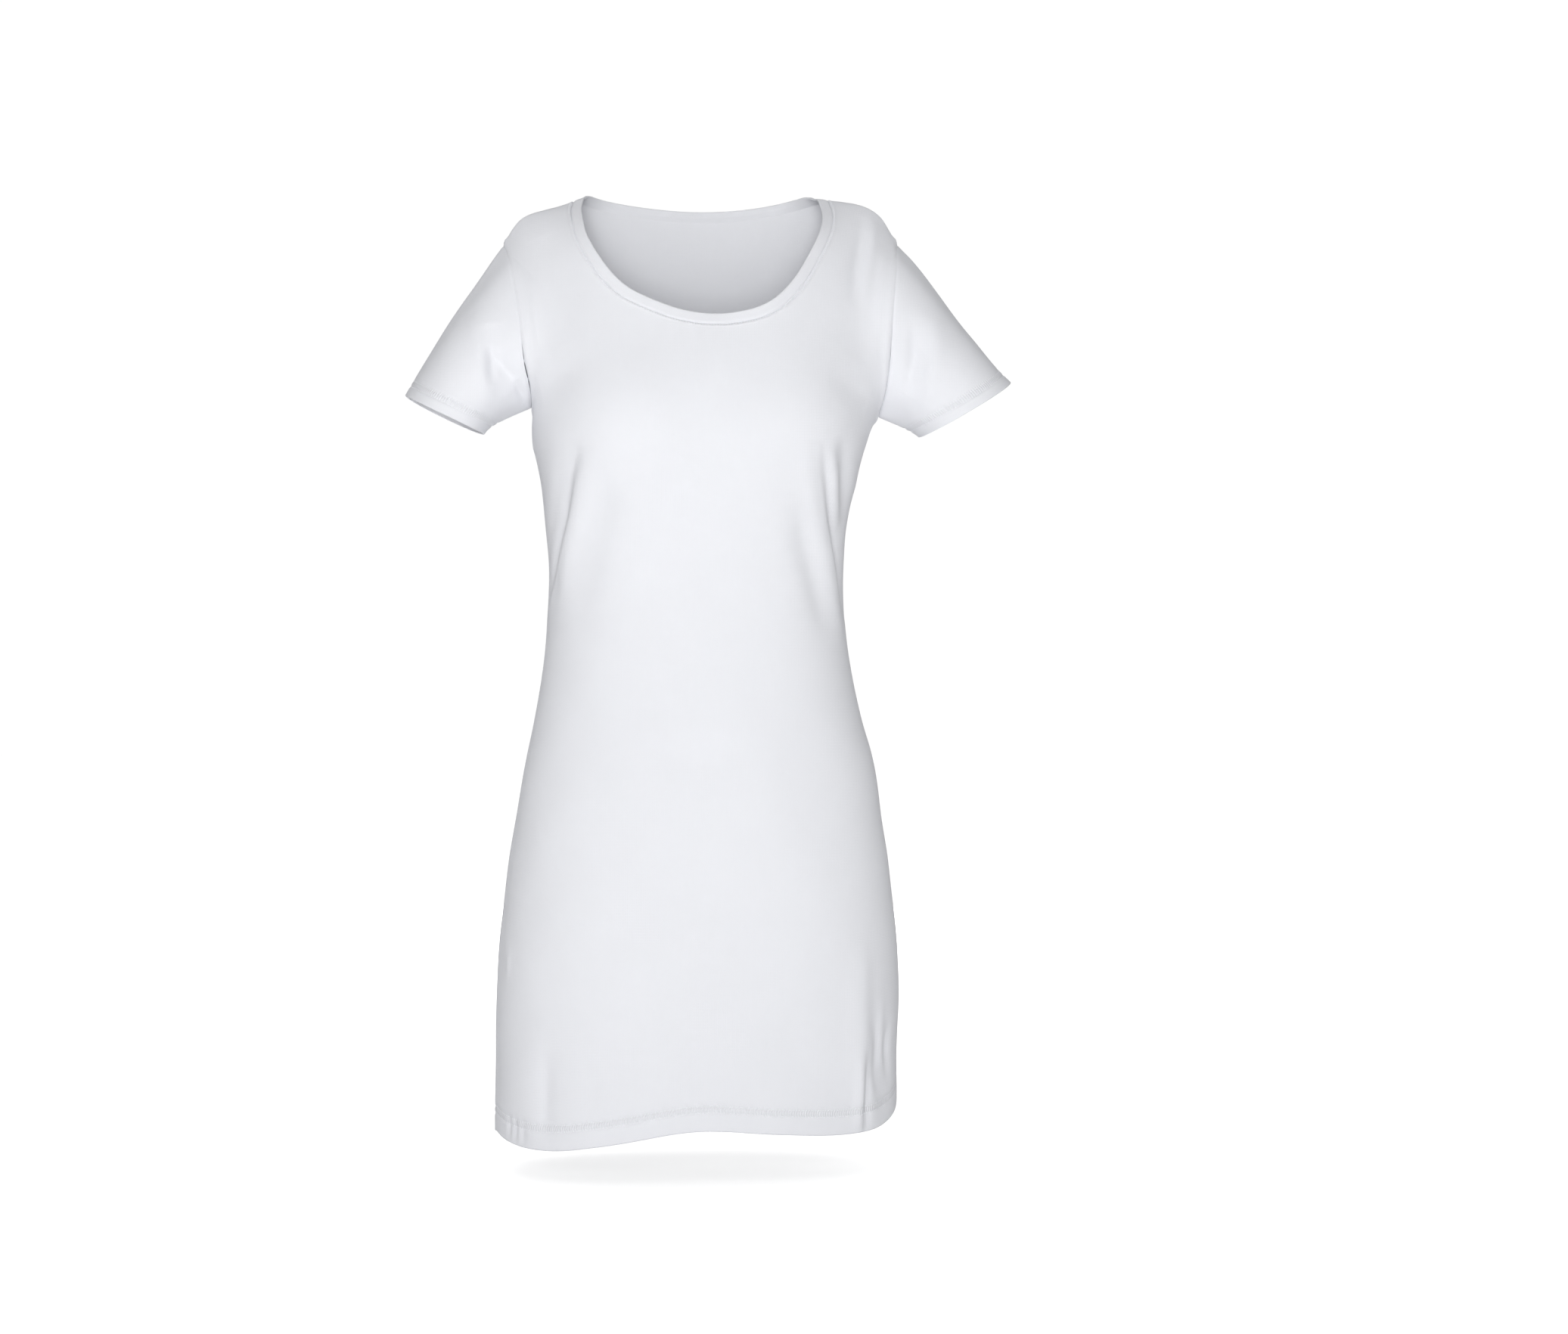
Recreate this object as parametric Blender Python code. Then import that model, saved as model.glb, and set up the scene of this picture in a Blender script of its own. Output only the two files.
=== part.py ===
"""A white jersey t-shirt dress, filled out as if it were worn.

Five sewn pieces: front, back, two set-in sleeves and a neckband, each a thin wall lofted through
sections. Metres, +Z up. The front faces -Y and the wearer's right is at -X. The origin lies midway
between the high points of the shoulders.
"""
import math

import bpy
import numpy as np

# Thickness of the walls and the spaces between them
WALL = 0.0016
HEM_WALL = 0.0026
BAND_WALL = 0.0024
SEAM_GAP = 0.0003

# Depths of the turned-up hems, and the width of the neckband
HEM_DEPTH = 0.025
CUFF_HEM_DEPTH = 0.017
CUFF_SPACING = 0.020
BAND_WIDTH = 0.0105
HEM_STEP = 0.001

# The body is level sections from the hem up to the bust line, and settles between its seams above
HEM_LEVEL = -0.880
HEM_SHIFT_STARTS = -0.600
BUST_LINE = -0.240

# Steps of each grid. A panel's edge column runs up the side seam, the armhole and the shoulder.
# The body's rows close up below the bust line, by these shares of a full step.
BODY_STEPS = 21
CLOSING_STEPS = (0.88, 0.74, 0.60, 0.47, 0.36, 0.27)
UNDERARM_STEPS = 2
ARMHOLE_STEPS = 10
SHOULDER_STEPS = 5
NECK_STEPS = {"front": 28, "back": 24}
SLEEVE_STEPS = 8
BAND_STEPS = 2
FINE = 4
LOOP_POINTS = 720
HELD_ROWS = 2

# How firmly the armholes and the neck hold their depth as the cloth settles, against its stiffness
SEAM_HOLD = 30.0
SETTLE_TURNS = 3
SPREAD_TURNS = 3

# Rows of a panel where its underarm and its shoulder tip lie
UNDERARM_ROW = BODY_STEPS + UNDERARM_STEPS
SHOULDER_TIP_ROW = UNDERARM_ROW + ARMHOLE_STEPS

# How far a sleeve leaves its seam in the tangent plane there, from 0, straight, to 1, and how hard
SLEEVE_EASE = 0.34
SLEEVE_PULL = 0.75

# Level sections of the body: side seams' x before they turn, depths, squareness front and back,
# and the turn of each side seam away from the widest point, in radians, plus towards the front
SECTION_COLUMNS = ("z", "right", "left", "front", "back", "front_power", "back_power", "turn_right", "turn_left")
SECTIONS = (
    (-0.900, -0.1935, 0.1880, -0.1260, 0.1170, 2.45, 2.40, 0.14, -0.08),
    (-0.840, -0.1928, 0.1880, -0.1245, 0.1190, 2.45, 2.40, 0.14, -0.08),
    (-0.779, -0.1920, 0.1898, -0.1225, 0.1200, 2.45, 2.40, 0.14, -0.08),
    (-0.714, -0.1898, 0.1876, -0.1200, 0.1215, 2.45, 2.35, 0.13, -0.08),
    (-0.657, -0.1835, 0.1825, -0.1170, 0.1225, 2.40, 2.30, 0.12, -0.07),
    (-0.599, -0.1747, 0.1750, -0.1130, 0.1215, 2.35, 2.25, 0.10, -0.06),
    (-0.541, -0.1645, 0.1665, -0.1085, 0.1150, 2.30, 2.20, 0.08, -0.05),
    (-0.484, -0.1536, 0.1515, -0.1035, 0.1020, 2.30, 2.20, 0.06, -0.03),
    (-0.440, -0.1465, 0.1430, -0.1000, 0.0905, 2.30, 2.20, 0.05, -0.02),
    (-0.397, -0.1430, 0.1385, -0.0985, 0.0830, 2.30, 2.20, 0.04, -0.01),
    (-0.354, -0.1425, 0.1372, -0.1005, 0.0810, 2.35, 2.20, 0.03, 0.00),
    (-0.311, -0.1457, 0.1404, -0.1065, 0.0850, 2.45, 2.25, 0.03, 0.00),
    (-0.282, -0.1490, 0.1478, -0.1115, 0.0890, 2.50, 2.30, 0.02, 0.00),
    (-0.255, -0.1540, 0.1533, -0.1150, 0.0925, 2.55, 2.35, 0.02, 0.00),
    (-0.230, -0.1600, 0.1610, -0.1165, 0.0950, 2.60, 2.40, 0.02, 0.00),
)

# Height of the hem against the share of the panel's width, from the right side seam to the left
HEM_COLUMNS = ("share", "front", "back")
HEM_LINE = (
    (0.00, -0.8848, -0.8848),
    (0.11, -0.8928, -0.8915),
    (0.18, -0.8936, -0.8920),
    (0.277, -0.8875, -0.8895),
    (0.46, -0.8735, -0.8840),
    (0.585, -0.8775, -0.8800),
    (0.745, -0.8812, -0.8750),
    (0.80, -0.8795, -0.8720),
    (0.844, -0.8750, -0.8690),
    (0.89, -0.8680, -0.8650),
    (0.95, -0.8562, -0.8580),
    (1.00, -0.8505, -0.8505),
)

# Seam lines as points in x, y and z.
# An armhole runs from the underarm up the front to the shoulder tip, and down the back again.
TIP_ROW = 6
ARMHOLES = {
    "right": (
        (-0.1565, -0.004, -0.2030),
        (-0.1605, -0.030, -0.1870),
        (-0.1655, -0.047, -0.1690),
        (-0.1690, -0.055, -0.1420),
        (-0.1730, -0.051, -0.1100),
        (-0.1795, -0.031, -0.0735),
        (-0.1850, 0.004, -0.0495),
        (-0.1825, 0.038, -0.0680),
        (-0.1775, 0.058, -0.1040),
        (-0.1730, 0.062, -0.1430),
        (-0.1650, 0.044, -0.1780),
        (-0.1565, -0.004, -0.2030),
    ),
    "left": (
        (0.1700, -0.004, -0.2100),
        (0.1745, -0.026, -0.1930),
        (0.1770, -0.042, -0.1690),
        (0.1785, -0.052, -0.1390),
        (0.1815, -0.050, -0.1000),
        (0.1868, -0.030, -0.0640),
        (0.1905, 0.004, -0.0440),
        (0.1885, 0.038, -0.0620),
        (0.1845, 0.058, -0.0980),
        (0.1810, 0.062, -0.1400),
        (0.1765, 0.044, -0.1800),
        (0.1700, -0.004, -0.2100),
    ),
}

# A shoulder seam runs from the shoulder tip to the neck
SHOULDERS = {
    "right": (
        (-0.1850, 0.004, -0.0495),
        (-0.1775, 0.005, -0.0345),
        (-0.1690, 0.006, -0.0242),
        (-0.1590, 0.007, -0.0190),
        (-0.1440, 0.007, -0.0150),
        (-0.1195, 0.008, -0.0065),
    ),
    "left": (
        (0.1905, 0.004, -0.0440),
        (0.1830, 0.005, -0.0300),
        (0.1745, 0.006, -0.0180),
        (0.1655, 0.007, -0.0105),
        (0.1520, 0.007, -0.0058),
        (0.1245, 0.008, -0.0026),
    ),
}

# The neck seams run from the right shoulder to the left one
FRONT_NECK = (
    (-0.1195, 0.008, -0.0065),
    (-0.1223, -0.010, -0.0170),
    (-0.1209, -0.028, -0.0313),
    (-0.1174, -0.044, -0.0484),
    (-0.1087, -0.057, -0.0667),
    (-0.0923, -0.070, -0.0908),
    (-0.0810, -0.075, -0.1022),
    (-0.0499, -0.084, -0.1192),
    (-0.0187, -0.089, -0.1294),
    (0.0078, -0.0905, -0.1321),
    (0.0373, -0.0895, -0.1293),
    (0.0622, -0.086, -0.1213),
    (0.0818, -0.079, -0.1062),
    (0.0957, -0.071, -0.0893),
    (0.1062, -0.062, -0.0721),
    (0.1175, -0.049, -0.0510),
    (0.1240, -0.034, -0.0345),
    (0.1265, -0.014, -0.0175),
    (0.1245, 0.008, -0.0026),
)
BACK_NECK = (
    (-0.1195, 0.008, -0.0065),
    (-0.1130, 0.033, -0.0045),
    (-0.0930, 0.056, -0.0080),
    (-0.0520, 0.071, -0.0130),
    (0.0020, 0.077, -0.0158),
    (0.0560, 0.071, -0.0130),
    (0.0970, 0.056, -0.0062),
    (0.1180, 0.033, -0.0014),
    (0.1245, 0.008, -0.0026),
)

# Each cuff is a tilted oval: the outer point, the heel under the arm, front and back y, how much lower
# its front edge hangs, squareness, and the direction in which the cloth leaves it
CUFFS = {
    "right": {
        "outer": (-0.2780, -0.1930),
        "heel": (-0.2035, -0.2290),
        "front": -0.060,
        "back": 0.052,
        "front_drop": 0.004,
        "power": 2.15,
        "leaves": (-0.50, 0.0, -0.87),
    },
    "left": {
        "outer": (0.2990, -0.1760),
        "heel": (0.2120, -0.2290),
        "front": -0.056,
        "back": 0.048,
        "front_drop": 0.004,
        "power": 2.15,
        "leaves": (0.76, 0.0, -0.65),
    },
}

# Rounded swells of the cloth: piece, centre x and z, reach across and up, height
SWELL_COLUMNS = ("piece", "x", "z", "across", "up", "height")
SWELLS = (
    ("front", -0.082, -0.206, 0.054, 0.060, 0.0065),
    ("front", 0.094, -0.208, 0.052, 0.060, 0.0065),
    ("front", 0.000, -0.560, 0.085, 0.110, 0.0040),
    ("back", -0.085, -0.130, 0.055, 0.060, 0.0040),
    ("back", 0.085, -0.130, 0.055, 0.060, 0.0040),
    ("back", -0.070, -0.600, 0.060, 0.070, 0.0035),
    ("back", 0.070, -0.600, 0.060, 0.070, 0.0035),
)

# The largest folds: piece, kind, height, reach on the wearer's right and left of the line, and the
# line's points in x and z, from its start to its end
FOLD_COLUMNS = ("piece", "kind", "height", "reach_right", "reach_left", "line")
FOLDS = (
    ("front", "roll", 0.0034, 0.016, 0.013, ((-0.107, -0.243), (-0.115, -0.270), (-0.121, -0.298), (-0.130, -0.340),
                                             (-0.136, -0.385))),
    ("front", "trough", -0.0030, 0.020, 0.016, ((-0.088, -0.270), (-0.095, -0.310), (-0.106, -0.360), (-0.122, -0.415))),
    ("front", "roll", -0.0040, 0.012, 0.014, ((0.118, -0.235), (0.124, -0.262), (0.128, -0.292), (0.131, -0.322))),
    ("front", "roll", -0.0036, 0.014, 0.016, ((0.100, -0.238), (0.106, -0.280), (0.118, -0.330), (0.129, -0.380),
                                              (0.136, -0.415))),
    ("front", "trough", -0.0026, 0.014, 0.018, ((0.085, -0.295), (0.094, -0.335), (0.107, -0.385), (0.120, -0.430))),
    ("front", "trough", -0.0030, 0.016, 0.022, ((-0.152, -0.045), (-0.140, -0.095), (-0.126, -0.150))),
    ("front", "trough", -0.0028, 0.020, 0.014, ((0.158, -0.035), (0.148, -0.095), (0.138, -0.160))),
    ("front", "ridge", 0.0030, 0.016, 0.010, ((0.147, -0.700), (0.146, -0.790), (0.145, -0.885))),
    ("front", "trough", -0.0026, 0.012, 0.014, ((0.165, -0.760), (0.167, -0.820), (0.168, -0.880))),
    ("front", "trough", -0.0022, 0.014, 0.020, ((-0.142, -0.780), (-0.146, -0.840), (-0.147, -0.892))),
    ("back", "roll", 0.0034, 0.016, 0.014, ((-0.100, -0.250), (-0.112, -0.300), (-0.122, -0.350))),
    ("back", "roll", -0.0034, 0.014, 0.016, ((0.098, -0.245), (0.110, -0.295), (0.120, -0.345))),
    ("back", "trough", -0.0030, 0.022, 0.020, ((-0.050, -0.300), (0.000, -0.330), (0.055, -0.315))),
    ("back", "trough", -0.0026, 0.018, 0.018, ((-0.070, -0.365), (-0.005, -0.385), (0.060, -0.372))),
    ("sleeve_right", "trough", -0.0040, 0.012, 0.011, ((-0.196, -0.130), (-0.192, -0.165), (-0.183, -0.195))),
    ("sleeve_right", "trough", -0.0030, 0.010, 0.010, ((-0.178, -0.150), (-0.176, -0.178), (-0.170, -0.198))),
    ("sleeve_left", "trough", -0.0036, 0.011, 0.012, ((0.205, -0.120), (0.203, -0.160), (0.198, -0.195))),
)

# Plain colour and finish of the cloth
JERSEY_COLOUR = (0.86, 0.86, 0.885, 1.0)
JERSEY_ROUGHNESS = 0.92


def table(names, rows):
    """Rows of a table as one array for each named column."""
    return {name: np.array([row[place] for row in rows]) for place, name in enumerate(names)}


def smooth(keys, values, at):
    """Cubic curve through a table's rows. The slope at a row is that of its neighbours."""
    keys = np.asarray(keys, float)
    values = np.asarray(values, float)
    at = np.clip(np.asarray(at, float), keys[0], keys[-1])
    slopes = np.gradient(values, keys, axis=0)
    start = np.clip(np.searchsorted(keys, at, side="right") - 1, 0, len(keys) - 2)
    span = keys[start + 1] - keys[start]
    t = (at - keys[start]) / span
    if values.ndim > 1:
        t = t[..., None]
        span = span[..., None]
    return hermite(values[start], slopes[start] * span, values[start + 1], slopes[start + 1] * span, t)


def hermite(start, start_pull, end, end_pull, t):
    """Cubic from start to end with the given pulls at its two ends."""
    t2 = t * t
    t3 = t2 * t
    first = (2 * t3 - 3 * t2 + 1) * start + (t3 - 2 * t2 + t) * start_pull
    return first + (3 * t2 - 2 * t3) * end + (t3 - t2) * end_pull


def unit(vectors):
    """Vectors at length one."""
    return vectors / np.maximum(np.linalg.norm(vectors, axis=-1, keepdims=True), 1e-12)


def ramp(value, low, high):
    """Soft step from 0 at low to 1 at high."""
    t = np.clip((value - low) / (high - low), 0.0, 1.0)
    return t * t * (3 - 2 * t)


def lengths_along(points):
    """Length of a line from its start to each of its points."""
    return np.concatenate(([0.0], np.cumsum(np.linalg.norm(np.diff(points, axis=0), axis=1))))


def even(points, shares):
    """Points of a line at shares of its length."""
    lengths = lengths_along(points)
    wanted = np.asarray(shares) * lengths[-1]
    return np.stack([np.interp(wanted, lengths, points[:, axis]) for axis in range(3)], axis=1)


def seam_line(rows, steps):
    """Points along a seam, evenly spaced."""
    rows = np.array(rows)
    keys = lengths_along(rows)
    fine = smooth(keys, rows, np.linspace(0.0, keys[-1], LOOP_POINTS))
    line = even(fine, np.linspace(0.0, 1.0, steps + 1))
    line[0] = rows[0]
    line[-1] = rows[-1]
    return line


def section_row(z, shares, panel):
    """Points of a level section across one panel, from the right side seam to the left one."""
    columns = table(SECTION_COLUMNS, SECTIONS)
    size = {name: float(smooth(columns["z"], columns[name], z)) for name in SECTION_COLUMNS[1:]}
    if panel == "front":
        angles = np.linspace(size["turn_right"], math.pi - size["turn_left"], LOOP_POINTS)
    else:
        angles = np.linspace(size["turn_right"], -math.pi - size["turn_left"], LOOP_POINTS)
    middle = (size["right"] + size["left"]) / 2
    half = (size["left"] - size["right"]) / 2
    cosine = np.cos(angles)
    sine = np.sin(angles)
    power = np.where(sine > 0, size["front_power"], size["back_power"])
    depth = np.where(sine > 0, size["front"], -size["back"])
    x = middle - half * np.sign(cosine) * np.abs(cosine) ** (2 / power)
    y = depth * np.sign(sine) * np.abs(sine) ** (2 / power)
    return even(np.stack([x, y, np.full_like(x, z)], axis=1), shares)


def body_levels():
    """Levels of the body's rows, from the hem up to the bust line."""
    steps = np.concatenate((np.ones(BODY_STEPS - len(CLOSING_STEPS)), CLOSING_STEPS))
    shares = np.concatenate(((0.0,), np.cumsum(steps) / steps.sum()))
    return HEM_LEVEL + (BUST_LINE - HEM_LEVEL) * shares


def armhole_half(side, panel):
    """An armhole's front or back half, from the underarm to the shoulder tip."""
    rows = ARMHOLES[side][: TIP_ROW + 1] if panel == "front" else ARMHOLES[side][TIP_ROW:][::-1]
    return seam_line(rows, ARMHOLE_STEPS)


def edge_column(side, panel, start):
    """A panel's edge above the bust line: side seam, armhole and shoulder."""
    armhole = armhole_half(side, panel)
    shares = np.linspace(0.0, 1.0, UNDERARM_STEPS + 1)[:, None]
    seam = start * (1 - shares) + armhole[0] * shares
    return np.concatenate((seam, armhole[1:], seam_line(SHOULDERS[side], SHOULDER_STEPS)[1:]))


def panel_grid(panel):
    """Points of the front or the back: rows from the hem up to the neck, columns from right to left."""
    shares = np.linspace(0.0, 1.0, NECK_STEPS[panel] + 1)
    levels = body_levels()
    body = np.stack([section_row(level, shares, panel) for level in levels])
    hem = table(HEM_COLUMNS, HEM_LINE)
    shift = smooth(hem["share"], hem[panel], shares) - HEM_LEVEL
    body[:, :, 2] += shift[None, :] * (1 - ramp(levels, HEM_LEVEL, HEM_SHIFT_STARTS))[:, None]

    right = edge_column("right", panel, body[-1, 0])[:, None]
    left = edge_column("left", panel, body[-1, -1])[:, None]
    top = seam_line(FRONT_NECK if panel == "front" else BACK_NECK, NECK_STEPS[panel])[None]
    low = body[-1][None]
    climbs = [(edge[:, 0, 2] - edge[0, 0, 2]) / (edge[-1, 0, 2] - edge[0, 0, 2]) for edge in (right, left)]
    up = ((climbs[0] + climbs[1]) / 2)[:, None, None]
    across = shares[None, :, None]
    chest = low * (1 - up) + top * up
    chest += (right - low[:, :1] * (1 - up) - top[:, :1] * up) * (1 - across) ** 3
    chest += (left - low[:, -1:] * (1 - up) - top[:, -1:] * up) * across ** 3
    return np.concatenate((body, chest[1:]))


def same_points(grids):
    """All points of the grids, and for each the number of the place that it shares with others."""
    points = np.concatenate([grid.reshape(-1, 3) for grid in grids])
    keys = np.round(points * 1e5).astype(np.int64)
    return points, np.unique(keys, axis=0, return_inverse=True)[1].ravel()


def bending(place, cells):
    """Matrix that gives how much the cloth bends at each point, from the angles of its cells."""
    bend = np.zeros((len(place), len(place)))
    area = np.zeros(len(place))
    for corners in ((0, 1, 2), (0, 2, 3), (0, 1, 3), (1, 2, 3)):
        triangles = cells[:, corners]
        for turn in range(3):
            one, other, apex = (triangles[:, (turn + step) % 3] for step in range(3))
            first = place[one] - place[apex]
            second = place[other] - place[apex]
            doubled = np.linalg.norm(np.cross(first, second), axis=1)
            weight = np.sum(first * second, axis=1) / np.maximum(doubled, 1e-9) / 4
            np.add.at(bend, (one, other), weight)
            np.add.at(bend, (other, one), weight)
            np.add.at(bend, (one, one), -weight)
            np.add.at(bend, (other, other), -weight)
            np.add.at(area, apex, doubled / 12)
    return bend / np.sqrt(area)[:, None]


def fair_chest(front, back):
    """Settle the chest and the upper back as the smoothest cloth between the seams and the body.

    The armholes and the neck keep their outline seen from the front, and their depth gives way.
    """
    first = BODY_STEPS - HELD_ROWS
    parts = [front[first:], back[first:]]
    points, numbers = same_points(parts)
    count = numbers.max() + 1
    place = np.zeros((count, 3))
    place[numbers] = points
    body = np.zeros(count, bool)
    seam = np.zeros(count, bool)
    corner = np.zeros(count, bool)
    no_bend = np.zeros(count, bool)
    cells = []
    start = 0
    underarm = UNDERARM_ROW - first
    tip = SHOULDER_TIP_ROW - first
    for part in parts:
        rows, columns = part.shape[:2]
        ids = numbers[start:start + rows * columns].reshape(rows, columns)
        start += rows * columns
        edges = ids[:, (0, -1)]
        body[ids[:HELD_ROWS + 1]] = True
        seam[ids[-1]] = True
        seam[edges[underarm:]] = True
        corner[edges[(underarm, tip, -1), :]] = True
        no_bend[ids[0]] = True
        no_bend[ids[-1]] = True
        no_bend[edges[underarm:tip + 1]] = True
        corners = (ids[:-1, :-1], ids[:-1, 1:], ids[1:, 1:], ids[1:, :-1])
        cells.append(np.stack([corner_ids.ravel() for corner_ids in corners], axis=1))
    cells = np.concatenate(cells)
    table_place = place.copy()
    for _ in range(SETTLE_TURNS):
        bend = bending(place, cells)[~no_bend]
        for axis, fixed, hold in ((0, body | seam, 0.0), (1, body | corner, SEAM_HOLD), (2, body | seam, 0.0)):
            loose = bend[:, ~fixed]
            wanted = -bend[:, fixed] @ place[fixed, axis]
            pull = hold ** 2 * (seam & no_bend)[~fixed]
            stiff = loose.T @ loose + np.diag(pull)
            place[~fixed, axis] = np.linalg.solve(stiff, loose.T @ wanted + pull * table_place[~fixed, axis])
    settled = place[numbers]
    split = parts[0].shape[0] * parts[0].shape[1]
    front[first:] = settled[:split].reshape(parts[0].shape)
    back[first:] = settled[split:].reshape(parts[1].shape)


def spread(directions):
    """Directions round a ring, evened out between neighbours."""
    for _ in range(SPREAD_TURNS):
        directions = unit(np.roll(directions, 1, axis=0) + 2 * directions + np.roll(directions, -1, axis=0))
    return directions


def cuff_ring(side, steps):
    """The cuff's oval, from the heel up the front to the outer point and down the back."""
    size = CUFFS[side]
    outer = np.array((size["outer"][0], 0.0, size["outer"][1]))
    heel = np.array((size["heel"][0], 0.0, size["heel"][1]))
    angles = np.linspace(0.0, math.tau, LOOP_POINTS)
    across = -np.sign(np.cos(angles)) * np.abs(np.cos(angles)) ** (2 / size["power"])
    deep = np.sign(np.sin(angles)) * np.abs(np.sin(angles)) ** (2 / size["power"])
    ring = (outer + heel) / 2 + across[:, None] * (outer - heel) / 2
    ring[:, 1] = np.where(deep > 0, size["front"] * deep, -size["back"] * deep)
    ring[:, 2] -= size["front_drop"] * np.clip(deep, 0, 1)
    half = LOOP_POINTS // 2
    shares = np.linspace(0.0, 1.0, steps + 1)
    up_front = even(ring[:half + 1], shares)
    down_back = even(ring[half:], shares)
    return np.concatenate((up_front, down_back[1:]))


def sleeve_grid(side, front, back):
    """Points of a sleeve in rows from the armhole to the cuff, each row a closed ring."""
    halves = []
    edge = 0 if side == "right" else -1
    rows = slice(UNDERARM_ROW, SHOULDER_TIP_ROW + 1)
    for name, panel in (("front", front), ("back", back)):
        halves.append((panel[rows, edge], grid_normals(name, panel)[rows, edge]))
    start, outward = (np.concatenate((halves[0][place], halves[1][place][::-1][1:])) for place in (0, 1))
    outward[:-1] = spread(outward[:-1])
    outward[-1] = outward[0]
    end = cuff_ring(side, ARMHOLE_STEPS)
    end[-1] = end[0]
    chord = end - start
    reach = np.linalg.norm(chord, axis=1, keepdims=True)
    straight = unit(chord)
    flush = unit(chord - np.sum(chord * outward, axis=1, keepdims=True) * outward)
    ease = SLEEVE_EASE * np.clip(np.sum(flush * straight, axis=1, keepdims=True), 0, 1) ** 2
    leaving = unit(straight * (1 - ease) + flush * ease)
    arriving = unit(np.array([CUFFS[side]["leaves"]]))
    pull = reach * SLEEVE_PULL
    steps = np.linspace(0.0, 1.0, SLEEVE_STEPS + 1)[:, None, None]
    grid = hermite(start[None], (leaving * pull)[None], end[None], (arriving * pull)[None], steps)
    grid[0] = start
    return grid[:, :-1]


def band_grid(front, back):
    """Points of the neckband in rows from its seam to its folded edge, each row a closed ring."""
    lines = []
    for name, panel in (("front", front), ("back", back)):
        lines.append((panel[-1], grid_normals(name, panel)[-1]))
    seam, outward = (np.concatenate((lines[0][place], lines[1][place][::-1][1:-1])) for place in (0, 1))
    corners = [0, len(lines[0][0]) - 1]
    outward[corners] += np.stack((lines[1][1][0], lines[1][1][-1]))
    along = unit(np.roll(seam, -1, axis=0) - np.roll(seam, 1, axis=0))
    inward = unit(np.cross(along, spread(outward)))
    inward *= np.sign(inward[:1] @ (seam.mean(axis=0) - seam[0]))
    steps = np.linspace(0.0, 1.0, BAND_STEPS + 1)[:, None, None]
    return seam[None] + inward[None] * BAND_WIDTH * steps


def base_grids():
    """Every piece's grid before its swells and folds, with shared points on the seams."""
    front = panel_grid("front")
    back = panel_grid("back")
    for column in (0, -1):
        back[:UNDERARM_ROW, column] = front[:UNDERARM_ROW, column]
    fair_chest(front, back)
    return {
        "front": front,
        "back": back,
        "sleeve_right": sleeve_grid("right", front, back),
        "sleeve_left": sleeve_grid("left", front, back),
        "neckband": band_grid(front, back),
    }


def cubic(points, at, ring=False):
    """Smooth curve through points, one after the other, read at fractional places."""
    count = len(points)
    if ring:
        points = np.concatenate((points[-1:], points, points[:2]))
        slopes = np.gradient(points, axis=0)[1:-1]
        points = points[1:-1]
    else:
        slopes = np.gradient(points, axis=0)
    last = count - 1 if ring else count - 2
    start = np.clip(np.floor(at).astype(int), 0, last)
    t = (at - start).reshape((-1,) + (1,) * (points.ndim - 1))
    return hermite(points[start], slopes[start], points[start + 1], slopes[start + 1], t)


def through_corners(line, corners, at):
    """A line read at fractional places, smooth between its corners alone."""
    exact = np.zeros((len(at), 3))
    for first, last in zip(corners[:-1], corners[1:]):
        inside = (at >= first) & (at <= last)
        exact[inside] = cubic(line[first:last + 1], at[inside] - first)
    return exact


def resampled(name, grid, rows_at, columns_at):
    """A grid read at fractional rows and columns. Its seams bend at their corners alone."""
    ring = name in RINGS
    across = np.swapaxes(cubic(np.swapaxes(grid, 0, 1), columns_at, ring), 0, 1)
    result = cubic(across, rows_at)
    if ring:
        line = np.concatenate((grid[0], grid[0, :1]))
        corners = (0, ARMHOLE_STEPS, 2 * ARMHOLE_STEPS)
        if name == "neckband":
            corners = (0, NECK_STEPS["front"], NECK_STEPS["front"] + NECK_STEPS["back"])
        change = through_corners(line, corners, columns_at) - across[0]
        nearness = 1 - ramp(rows_at, 0.0, 1.0)
        return result + nearness[:, None, None] * change[None]
    corners = (0, UNDERARM_ROW, SHOULDER_TIP_ROW, grid.shape[0] - 1)
    for edge in (0, grid.shape[1] - 1):
        change = through_corners(grid[:, edge], corners, rows_at) - cubic(grid[:, edge], rows_at)
        nearness = 1 - ramp(np.abs(columns_at - edge), 0.0, 1.0)
        result = result + nearness[None, :, None] * change[:, None]
    return result


def fine_grids(grids):
    """Every grid with more rows and columns, to lay the folds' lines on."""
    fine = {}
    for name, grid in grids.items():
        rows, columns = grid.shape[:2]
        last = columns if name in RINGS else columns - 1
        rows_at = np.linspace(0, rows - 1, (rows - 1) * FINE + 1)
        columns_at = np.linspace(0, last, last * FINE + 1)
        if name in RINGS:
            columns_at = columns_at[:-1]
        fine[name] = resampled(name, grid, rows_at, columns_at)
    return fine


def wall_rows(name, rows):
    """Places of a wall's rows in its grid, with a pair of rows where the hem's second ply ends."""
    places = np.arange(rows, dtype=float)
    if name in ("front", "back"):
        spacing = body_levels()[1] - HEM_LEVEL
        pair = np.array((HEM_DEPTH - HEM_STEP, HEM_DEPTH)) / spacing
        return np.concatenate((places[:1], pair, places[1:]))
    if name == "neckband":
        return places
    pair = rows - 1 - np.array((CUFF_HEM_DEPTH, CUFF_HEM_DEPTH - HEM_STEP)) / CUFF_SPACING
    return np.concatenate((places[:-1], pair, places[-1:]))


# Pieces whose rows close into rings, and those whose grids run the other way round
RINGS = ("sleeve_right", "sleeve_left", "neckband")
TURNED = ("back", "sleeve_left")

# Both rims at a seam are split along the same diagonal, chosen by how far their points lie this way
RIM_ORDER = np.array((0.25, 0.40, 0.88))


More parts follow.
